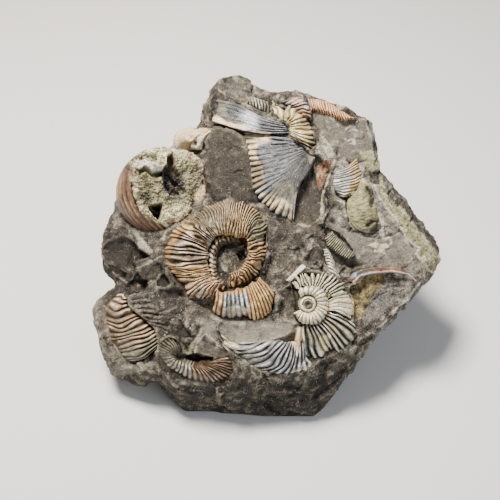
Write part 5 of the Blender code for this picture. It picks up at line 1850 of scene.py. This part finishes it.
# The crystals that fill the bowl.
DRUSE_PIECE = ShellPiece(
    "calcite_druse", "calcite", "crystal_filling", HOLLOW.seat, (
        Dome(edge=((100, 12.2), (110, 10.6), (120, 11.8), (128, 8.4), (138, 9.6), (150, 7.4), (163, 7.4),
             (180, 7.3), (207, 7.7), (232, 8.5), (263, 9.8), (290, 10.4), (316, 10.8), (345, 11.8),
             (367, 14.4), (377, 15.8), (388, 15.2), (405, 13.5), (448, 12.4), (460, 11.8)), rows=640,
             columns=70, rim=0.0, top=0.6, crown=0.9, sink=5.0, ragged=0.9),),
    Shade.CALCITE, (
        # Grains all over.
        Patch(BOWL(0, 0, 900, 0, 900, 900, 0, 900), None, lumps=1.5),
        # Olive hollow on the left and swell on the right.
        Patch(BOWL(280, 380, 480, 400, 500, 600, 420, 680, 300, 640, 270, 500), Shade.OLIVE, 0.6,
              lift=-0.6, soft=6),
        Patch(BOWL(560, 280, 700, 280, 800, 370, 790, 500, 700, 560, 600, 430), Shade.OLIVE, 0.5,
              lift=0.5, soft=6),
        # Pale ledge, and the shade under it.
        Patch(BOWL(250, 335, 330, 322, 400, 345, 440, 365, 482, 370, 500, 340, 480, 290, 500, 280,
              510, 330, 480, 400, 430, 412, 390, 425, 360, 392, 320, 384, 282, 402, 255, 385), "#f3edd8",
              0.95, lift=0.8, soft=1.6, polish=0.5),
        Patch(BOWL(280, 402, 320, 386, 360, 396, 390, 430, 470, 420, 480, 450, 400, 450, 330, 420,
              290, 440), "#4d482f", 0.85, lift=-1.2),
        # Two knobs on the rim.
        Patch(BOWL(225, 300, 232, 240, 290, 236, 300, 300), "#d9d4bc", 0.8, lift=2.4, soft=1.6,
              ragged=1.2),
        Patch(BOWL(322, 280, 345, 245, 400, 246, 408, 285), "#d9d4bc", 0.8, lift=2.0, soft=1.6,
              ragged=1.2),
        # Shallow hollows.
        Patch(BOWL(300, 440, 460, 430, 470, 520, 360, 600, 300, 560), "#77704a", 0.25, lift=-0.9,
              soft=8),
        Patch(BOWL(610, 360, 700, 330, 780, 400, 740, 470, 640, 440), "#6f6844", 0.4, lift=-0.8,
              soft=8),
        # Cleft, with the hole at its foot painted black as shade.
        Patch(BOWL(510, 295, 555, 270, 562, 300, 578, 340, 572, 370, 600, 420, 615, 455, 560, 465,
              500, 465, 483, 410, 490, 378, 522, 370, 505, 330), "#4c3f2a", lift=-3.0, soft=1.6,
              ragged=1.2),
        Patch(BOWL(488, 432, 545, 445, 568, 495, 600, 525, 560, 550, 562, 585, 528, 595, 500, 545,
              484, 480), None, lift=-4.0, soft=1.2, ragged=0.6),
        Patch(BOWL(470, 420, 560, 428, 612, 476, 662, 520, 626, 560, 614, 608, 528, 618, 490, 560,
              470, 480), "#020201", soft=1.0, ragged=0.4, polish=1.0),
        Patch(BOWL(560, 515, 620, 530, 690, 600, 640, 600, 580, 560), "#5b4f38", 0.85, lift=-1.0),
        # Lower hole, painted black as shade.
        Patch(BOWL(358, 712, 400, 690, 470, 682, 464, 775, 446, 818, 396, 776), "#040302", lift=-5.0,
              soft=1.2, ragged=0.6, polish=1.0),
        # Pinkish edge on the upper right.
        Patch(BOWL(640, 262, 720, 270, 790, 310, 822, 360, 800, 400, 720, 340, 660, 300), "#bfa48f", 0.7,
              soft=3),
    ), grain=0.72, worn=0.0, mottle=0.3, grit=0.4, finish=DRUSE)

SHELLS = (CENTRAL_PIECE, CREAM_PIECE, UPPER_PIECE, SUMMIT_PIECE, LEFT_PIECE, BOTTOM_PIECE, RIGHT_PIECE,
          TOP_PIECE, TAN_PIECE, CUP_PIECE, CONE_PIECE, FINE_PIECE, DRUSE_PIECE)

# Stains of the bowl's wall, with painted highlight on its left side.
HOLLOW_PATCHES = (
    # Painted highlight on the left side.
    Patch(BOWL(60, 300, 130, 280, 150, 420, 120, 620, 60, 640, 40, 450), Shade.PEACH, 0.35, soft=8),
    Patch(BOWL(250, 330, 265, 500, 300, 700, 400, 810, 545, 880), Shade.CREAM, 0.9, width=3.0,
          ragged=1.0, soft=1.5),
    # Tan on the left side, partly painted highlight.
    Patch(BOWL(60, 450, 100, 430, 130, 520, 120, 640, 60, 600), Shade.TAN, 0.7, soft=6),
    Patch(BOWL(230, 380, 262, 500, 300, 690, 260, 700, 220, 560, 200, 420), "#8a5f52", 0.6, soft=5),
)

# Breaks of the rock that are coloured too: painted shade in the recess, notch and left hollow, and paler
# grey on the right slab.
RECESS = WHOLE(
    203, 140, 213, 126, 246, 131, 250, 150, 256, 176, 270, 196, 262, 204, 243, 202, 232, 198, 216, 204,
    207, 192, 203, 170, 207, 150)
NOTCH = WHOLE(
    290, 179, 304, 169, 318, 196, 323, 214, 304, 224, 286, 212)
RIGHT_SLAB = WHOLE(
    316, 106, 325, 102, 345, 118, 365, 118, 374, 140, 374, 160, 352, 166, 338, 155, 326, 140, 312, 122)
LEFT_HOLLOW = WHOLE(
    101, 248, 105, 242, 115, 236, 123, 234, 132, 241, 141, 251, 151, 258, 143, 263, 136, 270, 132, 279,
    125, 281, 116, 274, 108, 266, 102, 258)

FACETS = (
    Facet(RECESS, 1.2, (0.0, 0.08)),
    Facet(NOTCH, 0.5, (-0.1, 0.1)),
    Facet(RIGHT_SLAB, 0.1, (0.05, 0.0)),
    Facet(LEFT_HOLLOW, 0.7, (0.12, 0.12), 1.6),
    Facet(WHOLE(105, 261, 116, 266, 127, 274, 127, 280, 116, 274, 107, 268), 0.6, (0.1, 0.5)),
    Facet(WHOLE(134, 262, 156, 254, 162, 272, 156, 280, 140, 280), 0.2, (0.0, 0.2), 0.4),
    Facet(WHOLE(156, 280, 159, 274, 165, 275, 171, 284, 165, 288, 158, 286), 1.6, (0.0, 0.3), 0.8),
    Facet(WHOLE(159, 288, 172, 287, 186, 291, 186, 297, 170, 297), 1.0, (0.0, 0.4), 0.5),
    Facet(WHOLE(169, 321, 180, 322, 189, 330, 194, 339, 186, 339, 176, 335, 168, 331), 0.8, (0.1, 0.4)),
    Facet(WHOLE(195, 352, 200, 339, 207, 342, 228, 354, 226, 358, 214, 361, 209, 359, 195, 356), -0.9,
          (0.0, -0.2), amount=0.8),
    Facet(WHOLE(181, 357, 196, 354, 213, 358, 212, 363, 196, 366, 184, 362), 3.4, (0.0, 0.0),
          polish=0.0),
    Facet(WHOLE(300, 226, 318, 244, 336, 262, 352, 268, 372, 262, 392, 264, 410, 262, 430, 268, 400, 232,
          380, 240, 350, 232, 330, 222), 0.1),
)

ROCK_PATCHES = (
    # Broad painted shade on the left shoulder, along the foot at the front and in the recess, notch and
    # hollows; and the greyer lumps.
    Patch(WHOLE(98, 236, 112, 230, 135, 228, 168, 262, 190, 300, 180, 318, 150, 322, 130, 300, 100, 292),
          Shade.SHADOW, 0.45, soft=6, ragged=4),
    Patch(WHOLE(85, 372, 104, 378, 118, 372, 136, 372, 160, 384, 186, 388, 215, 386, 250, 374, 290, 382,
          320, 380, 345, 368, 372, 345, 395, 380, 330, 430, 200, 430, 90, 400), Shade.UMBER_ROCK, soft=5,
          ragged=4),
    Patch(WHOLE(200, 318, 292, 322, 292, 340, 250, 352, 206, 340), Shade.GRIT, 0.8, soft=8, ragged=4,
          polish=0.6),
    Patch(WHOLE(93, 297, 103, 300, 112, 340, 125, 355, 137, 372, 112, 378, 98, 345), Shade.GRIT, 0.45,
          soft=4, polish=0.5),
    Patch(RECESS, Shade.SHADOW, 0.55, soft=3),
    Patch(NOTCH, Shade.SHADOW, 0.5, soft=2),
    Patch(LEFT_HOLLOW, Shade.SHADOW, 0.8, soft=2),
    Patch(WHOLE(103, 264, 118, 266, 130, 278, 132, 296, 108, 292, 102, 276), Shade.SHADOW, 0.8, soft=3),
    Patch(RIGHT_SLAB, Shade.GRIT, 0.45, soft=3),
    Patch(WHOLE(335, 160, 380, 170, 400, 225, 419, 248, 416, 255, 432, 272, 405, 280, 360, 262,
          330, 240), Shade.GRIT, 0.6, soft=6, ragged=5),
    # Olive skin along the right edge, with its pale rim, and a small pit in painted shade.
    Patch(WHOLE(358, 150, 376, 150, 385, 190, 405, 212, 442, 258, 434, 274, 416, 254, 419, 248, 406, 238,
          400, 225, 379, 197, 371, 178), Shade.MOSS_ROCK, soft=2, ragged=1, lumps=0.3),
    Patch(WHOLE(372, 178, 379, 197, 400, 225, 406, 238, 419, 248, 416, 254, 432, 272), "#e2dcc4", 0.95,
          width=1.6, soft=1.0, ragged=0.8, lift=0.15),
    Patch(WHOLE(370, 170, 382, 170, 381, 184, 371, 184), Shade.SHADOW, 0.9, soft=1.5, lift=-0.6),
    # Painted highlight along a ridge on the left, and pale hairlines.
    Patch(WHOLE(133, 230, 138, 232, 146, 244, 154, 252, 150, 254, 140, 246), "#c9c2b2", 0.8, soft=2),
    Patch(WHOLE(143, 266, 162, 256), "#bdb6a6", 0.8, width=1.2, soft=1.0),
    Patch(WHOLE(130, 283, 139, 266), "#bdb6a6", 0.6, width=1.0, soft=1.0),
    Patch(WHOLE(100, 248, 104, 262, 116, 276, 129, 283), "#a8a192", 0.7, width=1.0, soft=1.2),
    # White scratches on the upper right.
    Patch(WHOLE(330, 117, 339, 126), "#d9d6cc", 0.9, width=0.9, soft=0.8),
    Patch(WHOLE(346, 129, 349, 127, 352, 126, 355, 127), "#e6e4dc", 0.9, width=1.2, soft=1.0, ragged=1),
    Patch(WHOLE(349, 131, 353, 129, 357, 130), "#e6e4dc", 0.8, width=1.0, soft=1.0, ragged=1),
    Patch(WHOLE(345, 139, 348, 141, 351, 139, 354, 141), "#e6e4dc", 0.9, width=1.8, soft=1.0,
          ragged=1.5),
    Patch(WHOLE(347, 144, 351, 143, 355, 144), "#e6e4dc", 0.8, width=1.0, soft=1.0, ragged=1),
    # The star-shaped spot, the ring beside it and the square mark.
    Patch(WHOLE(369, 245, 373, 243, 376, 240, 379, 244, 386, 243, 389, 247, 384, 250, 385, 254, 379, 252,
          373, 254, 374, 249), "#dcd2ac", 0.95, soft=1.2, ragged=1.8, lift=0.4, lumps=0.5),
    Patch(WHOLE(377, 247, 380, 247, 380, 249, 377, 249), "#6b6450", 0.8, soft=1.0),
    Patch(WHOLE(386, 239, 389, 238, 392, 240, 391, 244, 388, 246, 385, 243, 386, 239), "#cfc6a4", 0.9,
          width=1.0, soft=1.0, lift=0.3),
    Patch(WHOLE(217, 387, 224, 387, 224, 394, 217, 394, 217, 387), "#b5ad98", 0.9, width=1.1, soft=0.9,
          lift=0.2),
    Patch(WHOLE(219, 389, 222, 389, 222, 392, 219, 392), "#7d5a48", 0.8, soft=0.8),
    # Loose flakes and chips of shell.
    Patch(WHOLE(194, 205, 198, 196, 205, 185, 206, 190, 203, 199), "#ecc89c", 0.95, soft=1.2, ragged=0.5,
          lift=0.5),
    Patch(WHOLE(139, 355, 146, 353, 150, 357, 146, 360, 140, 360), "#a98672", 0.9, soft=1.5, lift=0.3),
    Patch(WHOLE(336, 103, 342, 101, 345, 107, 338, 111), "#e2dfd2", 0.9, soft=1.2, lift=0.3),
    # The floor of the middle coil's eye in painted shade, with its cracks and a hole painted black as
    # shade.
    Patch(WHOLE(217, 247, 225, 242, 237, 238, 246, 242, 245, 260, 237, 269, 229, 277, 228, 284, 220, 278,
          214, 269, 212, 260), Shade.SHADOW, 1.0, soft=2, lumps=0.3),
    Patch(WHOLE(219, 258, 226, 250, 236, 252, 238, 262, 232, 272, 224, 270), Shade.MOSS, 0.4, soft=3,
          ragged=3),
    Patch(WHOLE(221, 262, 223, 268, 228, 273, 233, 275), Shade.CHALK_ROCK, 0.6, width=1.4, soft=1.4,
          ragged=2),
    Patch(WHOLE(228, 253, 243, 251), "#100f0c", 0.9, width=1.6, soft=1.2, lift=-0.5),
    Patch(WHOLE(232, 245, 238, 247), "#100f0c", 0.9, width=1.4, soft=1.2, lift=-0.5),
    Patch(WHOLE(236.5, 254, 243, 250.5, 247, 257, 240, 261), "#020201", 1.0, soft=1.0, ragged=0.4,
          lift=-1.6),
    Patch(WHOLE(223, 255, 225, 250, 231, 249, 243, 246), "#c9c5b2", 0.85, width=1.0, soft=1.0,
          lift=0.4),
    # Painted shade in the gap between the middle coil and its flake.
    Patch(WHOLE(220, 289, 246, 284), "#15130f", 0.9, width=3.0, soft=1.5, lift=-0.4),
    # Painted shade in the hollow beside the imprint.
    Patch(WHOLE(132, 288, 145, 285, 160, 290, 178, 300, 186, 318, 180, 336, 160, 335, 150, 322,
          138, 305), Shade.SHADOW, 0.5, soft=3),
    # Pale bruise on the upper right.
    Patch(WHOLE(363, 120, 374, 128, 374, 140, 368, 134), "#b9b4a6", 0.6, soft=2, ragged=3),
    # Inside of the broken cup, amber and grey.
    Patch(WHOLE(353, 284, 360, 276, 380, 272, 384, 282, 372, 300, 358, 322, 352, 312), Shade.AMBER, 0.9,
          soft=3),
    Patch(WHOLE(384, 282, 412, 280, 412, 286, 396, 300, 378, 318, 366, 326, 362, 318, 372, 300),
          "#8f8b84", 0.8, soft=3, lumps=0.3),
    Patch(WHOLE(419, 283, 405, 300, 390, 315, 375, 333), "#dedbd2", 0.8, width=1.6, soft=1.4,
          ragged=1.5),
    # The rust-red sliver and its pale neighbours.
    Patch(WHOLE(317, 166, 322, 160, 334, 159, 329, 170, 325, 180, 320, 190, 317, 184), Shade.RUST, 0.95,
          soft=1.5, ragged=0.8, lift=0.3),
    Patch(WHOLE(334, 161, 328, 179, 322, 197, 322, 215), "#d8cdb2", 0.85, width=2.0, soft=1.2,
          ragged=1.0, lift=0.3),
    Patch(WHOLE(322, 130, 334, 146, 333, 158, 322, 160, 314, 152), Shade.CHALK_ROCK, 0.9, soft=2,
          lumps=0.4),
    Patch(WHOLE(300, 225, 309, 226, 322, 218), "#c9b08a", 0.85, width=1.6, soft=1.0, lift=0.4),
    # The summit.
    Patch(WHOLE(218, 88, 228, 97, 236, 103, 250, 110, 262, 120), "#b9b4a8", 0.8, width=1.0, soft=1.0),
    Patch(WHOLE(213, 75, 232, 74, 250, 82, 262, 92, 250, 98, 236, 96, 222, 88), Shade.GRIT, 0.5,
          soft=5),
    # Grey lump over the bowl.
    Patch(WHOLE(159, 152, 166, 144, 176, 141, 184, 150, 178, 156, 162, 156), "#83867f", 0.9, soft=2,
          lumps=0.3),
    # The mouth of the small shell at the bottom, with painted shade in its deep hollow.
    Patch(WHOLE(181, 344, 195, 343, 190, 354, 182, 354), Shade.MOSS_ROCK, 0.8, soft=2),
    Patch(WHOLE(194, 356, 198, 340, 206, 334, 228, 352), "#cfc8ba", 0.8, width=1.4, soft=1.2, ragged=1),
    Patch(WHOLE(202, 322, 200, 334, 194, 342), "#c9c0a8", 0.8, width=1.8, soft=1.4, ragged=1),
    Patch(WHOLE(182, 357, 196, 354, 213, 358, 212, 363, 196, 366, 184, 362), "#1d1a15", 0.85, soft=1.5,
          ragged=0.8),
)

ROCK = Rock(beds=tuple(bed for piece in SHELLS if piece is not CUP_PIECE for bed in piece.beds()),
            facets=FACETS, patches=ROCK_PATCHES,
            imprints=(Imprint(Loft(MOULD_RIBS, rows=240, columns=16), 0.9),))


# ---------------------------------------------------------------- setting

LAMP_AIM = 35      # mm over the table, that the lights face


def add_light(name: str, place: tuple[float, float, float], size: float, power: float,
              colour: str) -> None:
    """Soft square light that faces the cluster; place in mm, size in mm."""
    lamp = bpy.data.lights.new(name, "AREA")
    lamp.energy = power
    lamp.size = size * MM
    lamp.color = linear(colour)
    obj = bpy.data.objects.new(name, lamp)
    bpy.context.scene.collection.objects.link(obj)
    spot = Vector(place) * MM
    obj.location = spot
    obj.rotation_euler = (Vector((0, 0, LAMP_AIM * MM)) - spot).to_track_quat("-Z", "Y").to_euler()


def add_setting() -> None:
    """Floor, lights, surroundings and camera."""
    bpy.ops.object.select_all(action="DESELECT")
    bpy.ops.mesh.primitive_grid_add(x_subdivisions=2, y_subdivisions=2, size=6.0)
    floor = bpy.context.active_object
    floor.name = "floor"
    paper = bpy.data.materials.new("paper_matt_white")
    paper.use_nodes = True
    shader = paper.node_tree.nodes["Principled BSDF"]
    shader.inputs["Base Color"].default_value = (*linear("#e9e9e7"), 1.0)
    shader.inputs["Roughness"].default_value = 0.9
    floor.data.materials.append(paper)
    add_light("key", (-110, 60, 420), 120, 5.0, "#fff6ea")
    add_light("fill", (260, -260, 260), 260, 0.6, "#eef4ff")
    world = bpy.data.worlds.new("soft_white")
    bpy.context.scene.world = world
    world.use_nodes = True
    world.node_tree.nodes["Background"].inputs["Color"].default_value = (*linear("#eef1f5"), 1.0)
    world.node_tree.nodes["Background"].inputs["Strength"].default_value = 0.22
    lens = bpy.data.cameras.new("camera")
    lens.sensor_width = 36.0
    lens.lens = lens.sensor_width / 2 / tan(radians(EYE.view / 2))
    lens.clip_start = 0.01
    camera = bpy.data.objects.new("camera", lens)
    bpy.context.scene.collection.objects.link(camera)
    camera.location = (EYE.place() + SEAT_SHIFT) * MM
    turn = Matrix(((1.0, 0.0, 0.0), tuple(EYE.up()), tuple(EYE.back()))).transposed()
    camera.rotation_euler = turn.to_euler()
    bpy.context.scene.camera = camera


SHELL_SEED = 100      # of the first shell
SEED_STEP = 17        # from shell to shell
BOWL_SEED = 900
ROCK_SEED = 500


def main() -> None:
    """Build every piece, then the setting."""
    logging.basicConfig(level=logging.INFO, format="%(message)s")
    for number, piece in enumerate(SHELLS):
        piece.build(SHELL_SEED + SEED_STEP * number)
    HOLLOW.build(HOLLOW_PATCHES, BOWL_SEED)
    ROCK.build(ROCK_SEED)
    add_setting()


if __name__ == "__main__":
    main()
